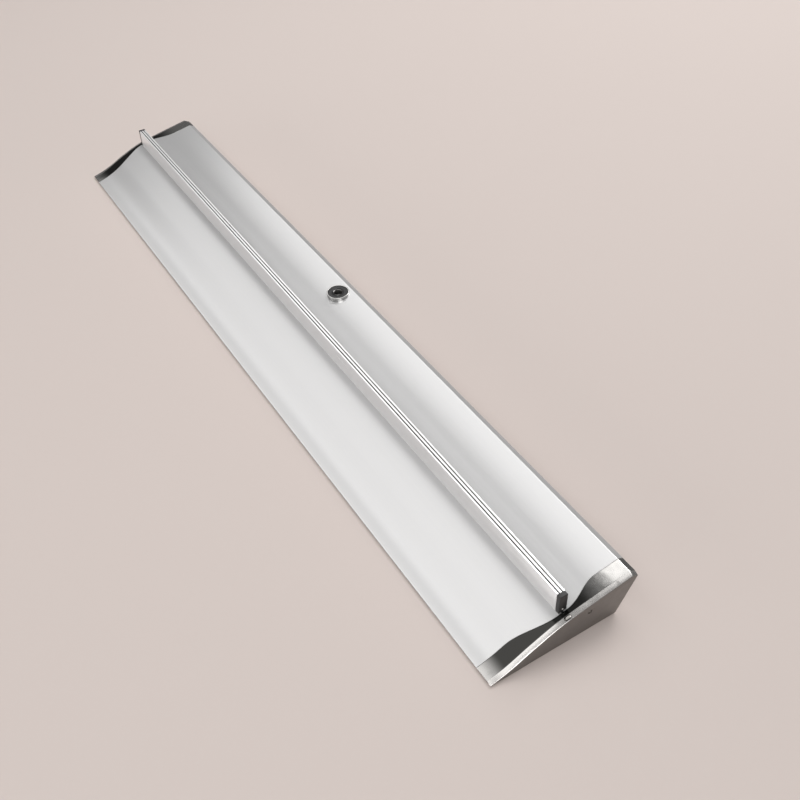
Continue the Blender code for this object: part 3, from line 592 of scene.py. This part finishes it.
def extrude(name, outline, look, half_length, stations=2, lip=0.0, level=0.0, middle=0.0, runs=(1.0, 1.0)):
    sizes = dict(zip(LENGTHS, (half_length, lip, level, middle, *runs)))
    return grow(name, EXTRUSION, look, outline_mesh(outline), Stations=stations, **sizes)


# %% [markdown]
# ## The base extrusion
# The real base is one aluminium extrusion: a curved front skin over a bay for the pole, a web beside the slot,
# a bottom plate, a leaning back wall and a rear skin. Its outline follows a rule, so the extrusion tree makes
# it. Stations every 20 mm keep the facets round the socket's hole from spreading along the whole top.

# %% Draw the base's outline and sweep it
SLOT = 0.0026
SLOT_FRONT, SLOT_BACK = RAIL_Y - SLOT / 2, RAIL_Y + SLOT / 2
WEB_FRONT = SLOT_FRONT - WALL
STATIONS, LIP, LEVEL, RUNS = 53, 0.0118, 0.0055, (0.056, 0.044)
SOCKET = centre("socket_bush")
BARREL, SCREW_HOLE = 0.008, 0.0029


def chamber_outline(front, wall):
    """The hollow inside the base behind a depth, a wall's thickness from the top, the back and the underside."""
    top = top_line(front, TOP_BACK - 0.2 * wall, 60, wall)
    z = BACK_EDGE - 0.6 * wall
    return [(front, wall)] + top + [(back_wall(z, wall), z), (back_wall(wall, wall), wall)]


def base_outline():
    front = [(0, 0)] + top_line(0, SLOT_FRONT, 70)
    inside = [(SLOT_FRONT, WALL)] + chamber_outline(SLOT_BACK, WALL)[:0:-1]
    rear = top_line(SLOT_BACK, TOP_BACK, 50) + [(DEPTH, BACK_EDGE), (FOOT_DEPTH, 0), (WEB_FRONT, 0)]
    bay = top_line(WEB_FRONT, BAY_FRONT, 50, WALL) + [(BAY_FRONT, 0)]
    return soften(front + inside + rear + bay, 0.0004)


outline = [(y + FRONT, z + FLOOR) for y, z in base_outline()]
base = extrude("base_extrusion", outline, aluminium, SKIN_END, STATIONS, LIP, LEVEL, RAIL_MID, RUNS)
cut(base, drill(0.02, 0.08, BARREL + GAP, "Z", (0, SOCKET.y, 0)))
screw_nodes = [n for n in sorted(nodes) if n.startswith("bracket_screw_")]
screw_spots = [centre(n) for n in screw_nodes]
for spot in screw_spots:
    cut(base, drill(FLOOR - 0.001, FLOOR + 0.0015, SCREW_HOLE, "Z", (spot.x, spot.y, 0)))
seat(base, aluminium, "base", ["housing_extrusion"])

# %% [markdown]
# ## The chrome end caps
# Each cap closes the wedge's end. Its skin is flush with the aluminium, its inner edge is the S-curve with a
# hair-line gap, and its outer rim has a narrow bevel. It is lofted from rings of the same outline: inside the
# hollow, out round the softened lip, along the skin, over the bevel and across the end face. Each inner ring
# point is the nearest point of the hollow's outline, so the rings never cross.

# %% Loft the two end caps
CAP_BEVEL, BEVEL_DROP, CAP_PLATE = 0.0053, 0.0012, 0.004


def skin_end(y):
    run = RUNS[0] if y < RAIL_Y else RUNS[1]
    t = min(max((abs(y - RAIL_Y) - LEVEL) / (run - LEVEL), 0), 1)
    return SKIN_END - LIP * t * t * (3 - 2 * t)


def nearest(point, outline):
    """The closest point of a closed outline."""
    spot, best = Vector(point), None
    for a, b in zip(outline, outline[1:] + outline[:1]):
        a, b = Vector(a), Vector(b)
        share = min(max((spot - a).dot(b - a) / max((b - a).length_squared, 1e-12), 0), 1)
        near = a + (b - a) * share
        if best is None or (near - spot).length < (best - spot).length:
            best = near
    return tuple(best)


def dropped(outline, drop):
    """The outline lowered for the bevel. The drop runs out towards the thin front edge."""
    low = []
    for y, z in outline:
        fall = drop * min(1, z / (0.25 * TALL))
        low.append((y - (fall / 2 if y > FOOT_DEPTH else 0), z - fall))
    return low


def cap(name, side):
    outer = soften([(0, 0)] + top_line(0, TOP_BACK, 130) + [(DEPTH, BACK_EDGE), (FOOT_DEPTH, 0)], 0.0006)
    hollow = chamber_outline(BAY_FRONT, WALL)
    inner = [nearest(p, hollow) for p in outer]
    soft = inset(outer, 0.00015)
    rings = [[(CAP_END - CAP_PLATE, y, z) for y, z in inner]]
    rings.append([(skin_end(y) + GAP, y, z) for y, z in inner])
    rings.append([(skin_end(y) + GAP, *s) for (y, z), s in zip(outer, soft)])
    rings.append([(skin_end(y) + GAP + 0.00015, y, z) for y, z in outer])
    start = CAP_END - CAP_BEVEL
    for back, drop in ((0.0006, 0), (0.0002, 0.00002), (-0.0003, 0.00009), (-0.0008, 0.00018)):
        rings.append([(start - back, y, z) for y, z in dropped(outer, drop)])
    for back, shrink in ((0.0006, 0), (0.0003, 0.00006), (0.0001, 0.0002), (0.00002, 0.00042), (0.0, 0.0006)):
        drop = BEVEL_DROP * (1 - back / CAP_BEVEL)
        rings.append([(CAP_END - back, y, z) for y, z in inset(dropped(outer, drop), shrink)])
    return as_object(name, skin([[(side * x, y + FRONT, z + FLOOR) for x, y, z in ring] for ring in rings]))


hole = centre("cap_screw_near")
CAP_HOLE, POCKET = 0.0022, (0.0038, 0.0020)
button_low, button_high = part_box("release_button")
button_mid = centre("release_button")


def pill(half_length, half_width, steps=10):
    """A flat oval with two straight sides and two round ends."""
    points = []
    for end in (1, -1):
        for i in range(steps + 1):
            angle = math.pi * i / steps
            across, ahead = half_width * math.cos(angle), half_length - half_width + half_width * math.sin(angle)
            points.append((end * across, end * ahead))
    return points


for name, side in (("near", 1), ("far", -1)):
    body = cap("cap_" + name, side)
    cut(body, drill(side * (CAP_END - 0.006), side * (CAP_END + 0.002), CAP_HOLE, "X", (0, hole.y, hole.z)))
    if side > 0:
        oval = [(a + button_mid.x, b + button_mid.y) for a, b in pill(*POCKET)]
        cut(body, as_object("pocket", skin([[(a, b, z) for a, b in oval] for z in (0.02, 0.06)])))
    seat(body, cap_chrome, "base", ["end_cap_" + name])

# %% [markdown]
# ## The clamp rail
# The rail is three extrusions: a front jaw, a spine that shows between two thin grooves, and a rear jaw that
# swings open on the spine's round bead. The same extrusion tree sweeps them with square ends. Only the last
# tenths of a millimetre of their corners are rounded, which is enough to draw a bright line along the top.

# %% Sweep the rail's extrusions
HALF_RAIL, HALF_SPINE = 0.0045, 0.00115
JAW_WALL, JAW_GROOVE = 0.0016, 0.0012
LIP_DOWN, REAR_DOWN, HALF_LIP_GAP = 0.0196, 0.0213, 0.0006
PIVOT, PIVOT_DOWN, BEAD = HALF_SPINE + 0.00072, 0.0021, 0.0008
TONGUE = (0.0039, 0.0053)
HALF_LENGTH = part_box("rail_spine")[1].x


def above_skin(y):
    return top_height(RAIL_Y + y) + FLOOR + GAP - RAIL_TOP


def front_jaw_outline():
    inner, rib, groove = -HALF_RAIL + JAW_WALL, -HALF_SPINE - GAP, -HALF_SPINE - JAW_GROOVE
    high, low = TONGUE
    points = [(-HALF_RAIL, 0), (groove, 0), (groove, -high + 0.0009), (rib, -high + 0.0009), (rib, -high + GAP)]
    points += [(inner, -high + GAP), (inner, -low - GAP), (rib, -low - GAP), (rib, -low - 0.0009)]
    points += [(inner, -low - 0.0009), (inner, -LIP_DOWN), (-HALF_LIP_GAP, -LIP_DOWN)]
    return points + [(-HALF_LIP_GAP, above_skin(-HALF_LIP_GAP)), (-HALF_RAIL, above_skin(-HALF_RAIL))]


def spine_outline():
    high, low = TONGUE
    tongue = -HALF_RAIL + JAW_WALL + GAP
    points = [(-HALF_SPINE, 0), (HALF_SPINE, 0)]
    for i in range(13):
        angle = math.pi * (0.5 - i / 12)
        points.append((max(PIVOT + BEAD * math.cos(angle), HALF_SPINE + 0.00001), -PIVOT_DOWN + BEAD * math.sin(angle)))
    return points + [(HALF_SPINE, -low), (tongue, -low), (tongue, -high), (-HALF_SPINE, -high)]


def rear_jaw_outline():
    notch, inner, groove = BEAD + GAP, HALF_RAIL - JAW_WALL, HALF_SPINE + JAW_GROOVE
    reach = math.acos((groove - PIVOT) / notch)
    points = [(HALF_RAIL, 0), (groove, 0)]
    for i in range(9):
        angle = reach * (1 - i / 4)
        points.append((PIVOT + notch * math.cos(angle), -PIVOT_DOWN + notch * math.sin(angle)))
    points += [(groove, -0.004), (inner, -0.004), (inner, -LIP_DOWN), (HALF_LIP_GAP, -LIP_DOWN)]
    return points + [(HALF_LIP_GAP, -REAR_DOWN), (HALF_RAIL, -REAR_DOWN)]


for node, outline, body in (
    ("rail_front_jaw", front_jaw_outline(), "rail"),
    ("rail_spine", spine_outline(), "rail"),
    ("rail_rear_jaw", rear_jaw_outline(), "rail_jaw"),
):
    soft = [(y + RAIL_MID, z + RAIL_TOP) for y, z in soften(outline, 0.0003, steps=3)]
    bar = extrude(node.replace("rail_", "clamp_"), soft, rail_aluminium, HALF_LENGTH, 21)
    seat(bar, rail_aluminium, body, [node])

# %% [markdown]
# ## The rail's end plugs
# A black plug closes each end of the rail, and a small bright stud sits low in its face. The plug is lofted
# like the caps, with a rounded outer edge, and the stud is turned with a domed head.

# %% Make the plugs and studs
PLUG_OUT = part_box("rail_plug_near")[1].x
PLUG_IN = HALF_LENGTH + GAP
STUD = centre("plug_stud_near")
STUD_RADIUS = 0.0012


def rail_plug(name, side):
    outline = [(-HALF_RAIL, 0), (HALF_RAIL, 0)]
    outline += [(y, above_skin(y)) for y in (HALF_RAIL, -HALF_RAIL)]
    outline = soften([(y + RAIL_MID, z + RAIL_TOP) for y, z in outline], 0.0007, steps=5)
    steps = [(PLUG_IN, 0.0002), (PLUG_IN + 0.0002, 0), (PLUG_OUT - 0.0006, 0), (PLUG_OUT - 0.0003, 0.00008)]
    steps += [(PLUG_OUT - 0.0001, 0.00025), (PLUG_OUT, 0.0005)]
    return as_object(name, skin([[(side * x, *spot) for spot in inset(outline, shrink)] for x, shrink in steps]))


for name, side in (("near", 1), ("far", -1)):
    plug = rail_plug("plug_" + name, side)
    cut(plug, drill(side * (PLUG_OUT - 0.002), side * (PLUG_OUT + 0.001), STUD_RADIUS + GAP, "X", (0, STUD.y, STUD.z)))
    seat(plug, plug_plastic, "rail", ["rail_plug_" + name])
    profile = [(PLUG_OUT - 0.0017, 0), (PLUG_OUT - 0.0017, STUD_RADIUS), (PLUG_OUT, STUD_RADIUS)]
    for k in range(1, 6):
        angle = math.pi / 2 * k / 5
        profile.append((PLUG_OUT + 0.0006 * math.sin(angle), STUD_RADIUS * math.cos(angle) if k < 5 else 0))
    stud = as_object("stud_" + name, turned([(side * a, r) for a, r in profile], at=(0, STUD.y, STUD.z), segments=32))
    seat(stud, steel, "rail", ["plug_stud_" + name])

# %% [markdown]
# ## The pole's socket
# The socket is a chrome collar round a black disc, with a steel bush in a dished middle. All three are turned
# shapes. The collar and the disc stand on a sloping skin, so the lowest points of each section are dropped to
# the skin's height at their own depth instead of being cut.

# %% Turn the socket's three pieces
COLLAR_RADIUS, _, COLLAR_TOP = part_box("socket_collar")[1]
COLLAR_WALL, COLLAR_ROUND, RIM_ROUND = 0.00105, 0.0004, 0.0003
DISC, _, DISC_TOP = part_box("socket_insert")[1]
INSERT_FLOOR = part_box("socket_insert")[0].z
BUSH_LOW, BUSH_TOP = (corner.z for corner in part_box("socket_bush"))
BORE = 0.00495
BUSH = BORE + 0.0008


def turned_on_skin(name, section, segments=96):
    """Turns a section of (radius, height) about the socket. A height of None means the skin's, at that place."""
    rings = []
    for i in range(segments):
        angle = 2 * math.pi * i / segments
        ring = []
        for radius, height in section:
            x, y = radius * math.cos(angle), SOCKET.y + radius * math.sin(angle)
            ground = top_height(min(y - FRONT, DEPTH * 0.99)) + FLOOR + GAP
            ring.append((x, y, ground if height is None else height))
        rings.append(ring)
    return as_object(name, skin(rings, closed=True))


def arc(middle, radius, start, end, steps=6):
    """Points on a quarter or more of a circle in a section, angles in degrees."""
    angles = [math.radians(a) for a in spread(start, end, steps + 1)]
    return [(middle[0] + radius * math.cos(a), middle[1] + radius * math.sin(a)) for a in angles]


section = [(COLLAR_RADIUS, None)]
section += arc((COLLAR_RADIUS - COLLAR_ROUND, COLLAR_TOP - COLLAR_ROUND), COLLAR_ROUND, 0, 90)
section += arc((COLLAR_RADIUS - COLLAR_WALL + RIM_ROUND, COLLAR_TOP - RIM_ROUND), RIM_ROUND, 90, 180)
section += [(COLLAR_RADIUS - COLLAR_WALL, None)]
seat(turned_on_skin("collar", section), bright_chrome, "base", ["socket_collar"])

SLEEVE = BUSH + GAP
section = [(DISC, None)] + arc((DISC - RIM_ROUND, DISC_TOP - RIM_ROUND), RIM_ROUND, 0, 90)
section += [(0.0098, DISC_TOP), (0.0097, DISC_TOP - 0.00012), (0.0094, DISC_TOP - 0.00012), (0.0093, DISC_TOP)]
section += [(SLEEVE + 0.0006, DISC_TOP), (SLEEVE + 0.0002, DISC_TOP - 0.0002), (SLEEVE, DISC_TOP - 0.0006)]
section += [(SLEEVE, INSERT_FLOOR + WALL), (0.0, INSERT_FLOOR + WALL)]
section += [(0.0, INSERT_FLOOR), (BARREL, INSERT_FLOOR), (BARREL, None)]
seat(turned_on_skin("insert", section), black_plastic, "base", ["socket_insert"])

section = [(BORE, BUSH_LOW), (BUSH, BUSH_LOW), (BUSH, BUSH_TOP - 0.0002), (BUSH - 0.0002, BUSH_TOP)]
section += [(BUSH - 0.0004, BUSH_TOP - 0.0001), (BORE + 0.0002, BUSH_TOP - 0.0006), (BORE, BUSH_TOP - 0.0014)]
seat(turned_on_skin("bush", section), dark_steel, "base", ["socket_bush"])

# %% [markdown]
# ## The release button
# A small oval button sits in a pocket of the near cap's bevel. Its top is slightly domed, so rings of the
# same oval shrink and rise towards the middle. A spring holds it up.

# %% Loft the button
HALF_BUTTON = (0.0035, 0.0017)
tall = button_high.z - button_low.z
rings = []
for drop, shrink in ((tall, 0), (0.00045, 0), (0.00022, 0.00008), (0.0001, 0.0002), (0.00003, 0.0005), (0.0, 0.0010)):
    z = button_high.z - drop
    oval = pill(*(half - shrink for half in HALF_BUTTON))
    rings.append([(a + button_mid.x, b + button_mid.y, z) for a, b in oval])
seat(as_object("button", skin(rings)), button_chrome, "button", ["release_button"])

# %% [markdown]
# ## Wound springs
# Two springs are wires wound round an axis, which is a rule, so one tree grows both: a spiral curve with a
# round wire swept along it. The roller's spring turns with the roller.


# %% Grow the two springs
def spring_tree():
    wire, given = new_tree("wound_wire", Radius="Float", Wire="Float", Length="Float", Turns="Float", Steps="Int")
    values = {"Resolution": given["Steps"], "Rotations": given["Turns"], "Height": given["Length"]}
    values.update({"Start Radius": given["Radius"], "End Radius": given["Radius"]})
    spiral = wire.node("GeometryNodeCurveSpiral", values=values)
    ring = wire.node("GeometryNodeCurvePrimitiveCircle", values={"Resolution": 8, "Radius": given["Wire"]})
    values = {"Curve": spiral, "Profile Curve": ring, "Fill Caps": True}
    return close_tree(wire, wire.node("GeometryNodeCurveToMesh", values=values), given)


SPRING = spring_tree()


def spring(name, node, along, wire, turns, steps, body):
    """Winds a spring into its node's box, along X or Z."""
    low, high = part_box(node)
    long = high - low
    sizes = {"Radius": long.y / 2 - wire, "Wire": wire, "Length": long[along] - 2 * wire}
    thing = grow(name, SPRING, steel, Turns=float(turns), Steps=steps, **sizes)
    turn = Matrix.Rotation(math.pi / 2, 4, "Y") if along == 0 else Matrix.Identity(4)
    middle = (low + high) / 2
    middle[along] = low[along] + wire
    thing.data.transform(Matrix.Translation(middle) @ turn)
    return seat(thing, steel, body, [node], angle=60)


spring("roller_spring", "torsion_spring", 0, 0.0008, 20, 24, "roller")
small = spring("press_spring", "button_spring", 2, 0.00025, 4, 24, "base")
low, high = (corner.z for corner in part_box("button_spring"))
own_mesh(small)

# %% [markdown]
# ## Screws and feet, one tree for all
# Four screws hold the roller's brackets from below and four rubber pads carry the stand. Each kind is made
# once and copied onto points by a tree, so all copies stay alike. The screw has a cross recess, and the pad
# has nine fine grooves across its underside.


# %% Copy a piece onto points
def copies_tree():
    wire, given = new_tree("copies", Pattern="Object")
    shape = wire.node("GeometryNodeObjectInfo", values={"Object": given["Pattern"]}, out=4)
    dots = wire.node("GeometryNodeMeshToPoints", values={"Mesh": given["Geometry"]})
    copies = wire.node("GeometryNodeInstanceOnPoints", values={"Points": dots, "Instance": shape})
    return close_tree(wire, copies, given)


COPIES = copies_tree()


def copy_to(name, pattern, spots, look):
    mesh = bpy.data.meshes.new("spots")
    mesh.from_pydata([tuple(s) for s in spots], [], [])
    thing = grow(name, COPIES, look, mesh, Pattern=pattern)
    bpy.data.objects.remove(pattern)
    return thing


def cross_recess(thing, top, radius, axis="Z", side=1, deep=0.0008):
    """Cuts the cross that a screwdriver fits."""
    for first in (True, False):
        long, wide = (radius, radius * 0.28) if first else (radius * 0.28, radius)
        ring = [(-long, -wide), (long, -wide), (long, wide), (-long, wide)]
        rings = []
        for level, share in ((top - side * deep, 0.5), (top + side * 0.0003, 1.0)):
            flat = [(a * share, b * share) for a, b in ring]
            rings.append([(*spot, level) if axis == "Z" else (level, *spot) for spot in flat])
        cut(thing, as_object("cross", skin(rings)))


HEAD, SHANK = 0.0026, 0.0013
profile = [(0.0, 0.0), (0.0, HEAD - 0.0003), (0.00012, HEAD - 0.0001), (0.0004, HEAD), (0.0012, HEAD)]
profile += [(0.0012, SHANK), (0.010, SHANK), (0.010, 0)]
screw = as_object("screw", turned(profile, "Z", segments=28))
cross_recess(screw, 0.0, 0.0015, side=-1)
floor_of_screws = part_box(screw_nodes[0])[0].z
screws = copy_to("bracket_screws", screw, [(s.x, s.y, floor_of_screws) for s in screw_spots], steel)
seat(screws, steel, "base", screw_nodes)

pad_nodes = [n for n in sorted(nodes) if n.startswith("foot_pad_")]
pad_low, pad_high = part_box(pad_nodes[0])
pad_size = (pad_high - pad_low) / 2
rings = []
for z, shrink in ((0, 0.0003), (0.0001, 0.00008), (0.0002, 0), (0.0007, 0), (2 * pad_size.z, 0.0002)):
    rings.append([(b, a, z) for a, b in pill(pad_size.x - shrink, pad_size.y - shrink)])
pad = as_object("pad", skin(rings))
GROOVES, PITCH, HALF_GROOVE = 9, 0.0022, (0.0004, 0.0032)
for k in range(GROOVES):
    x, (a, b) = (k - GROOVES // 2) * PITCH, HALF_GROOVE
    groove = [(x - a, -b), (x + a, -b), (x + a, b), (x - a, b)]
    cut(pad, as_object("groove", skin([[(*spot, z) for spot in groove] for z in (-0.001, 0.0002)])))
pads = copy_to("feet", pad, [(*centre(n).xy, pad_low.z) for n in pad_nodes], rubber)
seat(pads, rubber, "base", pad_nodes)

# %% [markdown]
# ## The screws in the caps
# Deep in the round hole of each cap is the head of the screw that holds it. It is turned, and a cross is cut
# in its head.

# %% Turn the cap screws
for name, side in (("near", 1), ("far", -1)):
    low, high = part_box("cap_screw_" + name)
    inner, outer_end = (low.x, high.x) if side > 0 else (high.x, low.x)
    radius = (high.y - low.y) / 2
    seat_x = outer_end - side * 0.003
    profile = [(inner, 0), (inner, SHANK), (seat_x, SHANK), (seat_x, radius), (outer_end - side * 0.0004, radius)]
    profile += [(outer_end, radius - 0.0003), (outer_end, 0)]
    screw = as_object("cap_fixing_" + name, turned(profile, segments=28))
    cross_recess(screw, outer_end, 0.0012, axis="X", side=side)
    screw.data.transform(Matrix.Translation((0, hole.y, hole.z)))
    seat(screw, steel, "base", ["cap_screw_" + name])

# %% [markdown]
# ## The stowed pole
# The pole's three sections lie in the bay under the front skin. They are drawn tubes with rounded rims, turned
# here with enough sides to stay round when seen from below. Their ferrules, the foot spigot, the hook and the
# clips already have the right shape in the frame, and only get their finish.

# %% Turn the pole's tubes
POLE_WALL = 0.0008
for node in ("pole_lower", "pole_middle", "pole_upper"):
    low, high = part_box(node)
    radius = (high.z - low.z) / 2
    bore = radius - POLE_WALL
    profile = []
    for x, side in ((low.x, 1), (high.x, -1)):
        rim = [(x + side * 0.0003, bore), (x + side * 0.0001, bore + 0.0001), (x, bore + 0.0003)]
        rim += [(x, radius - 0.0003), (x + side * 0.0001, radius - 0.0001), (x + side * 0.0003, radius)]
        profile += rim if side > 0 else rim[::-1]
    tube = as_object("tube_" + node[5:], turned(profile, at=(0, (low.y + high.y) / 2, (low.z + high.z) / 2)))
    seat(tube, tube_aluminium, "base", [node])

# %% [markdown]
# ## The graphic
# The graphic is a coated film. Two metres are wound on the roller, and only a short strip runs up through the
# slot into the rail. When the rail is lifted that strip must grow to full height; here it is a grid of rows that
# rides on no body.

# %% Wind the roll and hang the strip
ROLL_LOW, ROLL_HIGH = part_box("graphic_roll")
roll_mid = centre("graphic_roll")
roll_radius = (ROLL_HIGH.z - ROLL_LOW.z) / 2
core_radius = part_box("roller_tube")[1].z - roll_mid.z + 0.0003
TURNS, SIDES = 27, 36


def wound_roll():
    """A film wound in a flat spiral: one strip whose section runs out along the spiral and back inside it."""
    pitch = (roll_radius - core_radius) / (TURNS + 1)
    outer_line, inner_line = [], []
    for i in range(TURNS * SIDES + 1):
        angle = 2 * math.pi * i / SIDES
        radius = core_radius + pitch * (i / SIDES + 1)
        for line, r in ((outer_line, radius), (inner_line, radius - 0.85 * pitch)):
            line.append((roll_mid.y + r * math.cos(angle), roll_mid.z - r * math.sin(angle)))
    section = outer_line + inner_line[::-1]
    bm = bmesh.new()
    ends = [[bm.verts.new((x, y, z)) for y, z in section] for x in (ROLL_LOW.x, ROLL_HIGH.x)]
    count, half = len(section), len(outer_line)
    for i in range(count):
        bm.faces.new((ends[0][i - 1], ends[0][i], ends[1][i], ends[1][i - 1]))
    for end in ends:
        for i in range(half - 1):
            bm.faces.new((end[i], end[i + 1], end[count - 2 - i], end[count - 1 - i]))
    bmesh.ops.recalc_face_normals(bm, faces=bm.faces)
    return as_object("film_roll", bm)


seat(wound_roll(), film, "roller", ["graphic_roll"])

sheet_low, sheet_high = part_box("graphic_sheet")
FILM = 0.00025
ROWS, COLUMNS = 48, 10
strip_y = centre("graphic_sheet").y
front_face, back_face = [], []
bm = bmesh.new()
for side, keep in ((-1, front_face), (1, back_face)):
    for z in spread(sheet_low.z, sheet_high.z, ROWS + 1):
        row = spread(sheet_low.x, sheet_high.x, COLUMNS + 1)
        keep.append([bm.verts.new((x, strip_y + side * FILM / 2, z)) for x in row])
for face in (front_face, back_face):
    for j in range(ROWS):
        for i in range(COLUMNS):
            bm.faces.new((face[j][i], face[j][i + 1], face[j + 1][i + 1], face[j + 1][i]))


def edge(grid):
    """The border of a grid of points, once round."""
    return grid[0] + [row[-1] for row in grid[1:]] + grid[-1][-2::-1] + [row[0] for row in grid[-2:0:-1]]


front_edge, back_edge = edge(front_face), edge(back_face)
for i in range(len(front_edge)):
    bm.faces.new((front_edge[i - 1], front_edge[i], back_edge[i], back_edge[i - 1]))
close(bm)
strip = seat(as_object("film_strip", bm), film, None, ["graphic_sheet"])
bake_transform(strip)

# %% [markdown]
# ## Finishes for the parts of the frame that stay
# The brackets, the roller's tube and plugs, the shaft, the pin, the clips and the pole's small fittings keep
# the frame's shapes. Each gets the finish of its own slot in place of the plain colour.

# %% Dress the remaining nodes
FINISHES = {
    "satin_aluminium": tube_aluminium,
    "chrome": bright_chrome,
    "black_plastic": black_plastic,
    "grey_plastic": grey_plastic,
    "steel": steel,
    "white_film": film,
    "rubber": rubber,
}
dressed = 0
for thing in nodes.values():
    if not thing.hide_render:
        for holder in thing.material_slots:
            slot_name = holder.material.name.split(".")[0]
            holder.material = FINISHES.get(slot_name, grey_plastic)
        dressed += 1
print("nodes dressed", dressed)

# %% [markdown]
# ## Floor and light
# The stand is shown on a plain pale floor under soft studio light. Satin metal shows what is above it, so two
# long strips hang parallel to the base, and the dark gap between them gives the soft band along the rail's foot.
# A low panel lights the front face of the rail, two more light the floor and the near end, and a surround that
# is darker near the horizon fills the rest.

# %% Build the studio
FLOOR_COLOUR = (0.675, 0.596, 0.562)


def studio_floor():
    bm = bmesh.new()
    bmesh.ops.create_grid(bm, x_segments=8, y_segments=8, size=6.0)
    thing = as_object("floor", bm)
    wire, wear = finish("floor_paper")
    paper = grain(wire, (220.0, 220.0, 220.0), detail=3.0)
    broad = grain(wire, (1.2, 1.2, 1.2), detail=1.0)
    shade = blend_colour(wire, paper * 0.4 + broad * 0.6, *tones(FLOOR_COLOUR, 0.98, 1.02))
    thing.data.materials.append(wear(shade, 0.75 + paper * 0.1, paper, 0.00005))


def panel(name, spot, aim, size, power, colour=(1.0, 0.99, 0.98)):
    lamp = bpy.data.lights.new(name, "AREA")
    lamp.shape, lamp.size, lamp.size_y = "RECTANGLE", size[0], size[1]
    lamp.energy, lamp.color = power, colour
    thing = bpy.data.objects.new(name, lamp)
    bpy.context.scene.collection.objects.link(thing)
    facing = (Vector(aim) - Vector(spot)).to_track_quat("-Z", "Y")
    thing.matrix_world = Matrix.Translation(spot) @ facing.to_matrix().to_4x4()


def surround(bands, colour, strength):
    """A surround that changes with height: each band is (how far up, brightness)."""
    world = bpy.data.worlds.new("surround")
    world.use_nodes = True
    wire = Wire(world.node_tree)
    up = split(wire, wire.node("ShaderNodeTexCoord", out="Generated"))[2]
    stops = [(high, [level * c for c in colour]) for high, level in bands]
    shade = wire.node("ShaderNodeValToRGB", {"stops": stops}, {0: up})
    back = world.node_tree.nodes["Background"]
    world.node_tree.links.new(shade.socket, back.inputs["Color"])
    back.inputs["Strength"].default_value = strength
    bpy.context.scene.world = world


studio_floor()
surround(((0.0, 0.15), (0.55, 0.15), (0.80, 0.32), (1.0, 0.32)), (1.0, 0.99, 0.98), 1.0)
panel("front_strip", (-1.85, -1.27, 2.4), (-1.85, -1.27, 0), (5.1, 1.6), 22)
panel("back_strip", (-1.60, 1.17, 2.4), (-1.60, 1.17, 0), (4.6, 1.3), 27)
panel("low_front_panel", (0.3, -2.6, 0.55), (0.1, 0, 0.03), (2.4, 0.7), 15)
panel("key_panel", (-0.8, 2.8, 2.6), (0, 0, 0), (1.6, 1.6), 54)
panel("camera_side_panel", (2.2, -1.2, 2.4), (0.3, 0, 0), (2.0, 2.0), 34)
bpy.context.scene.view_settings.view_transform = "Standard"
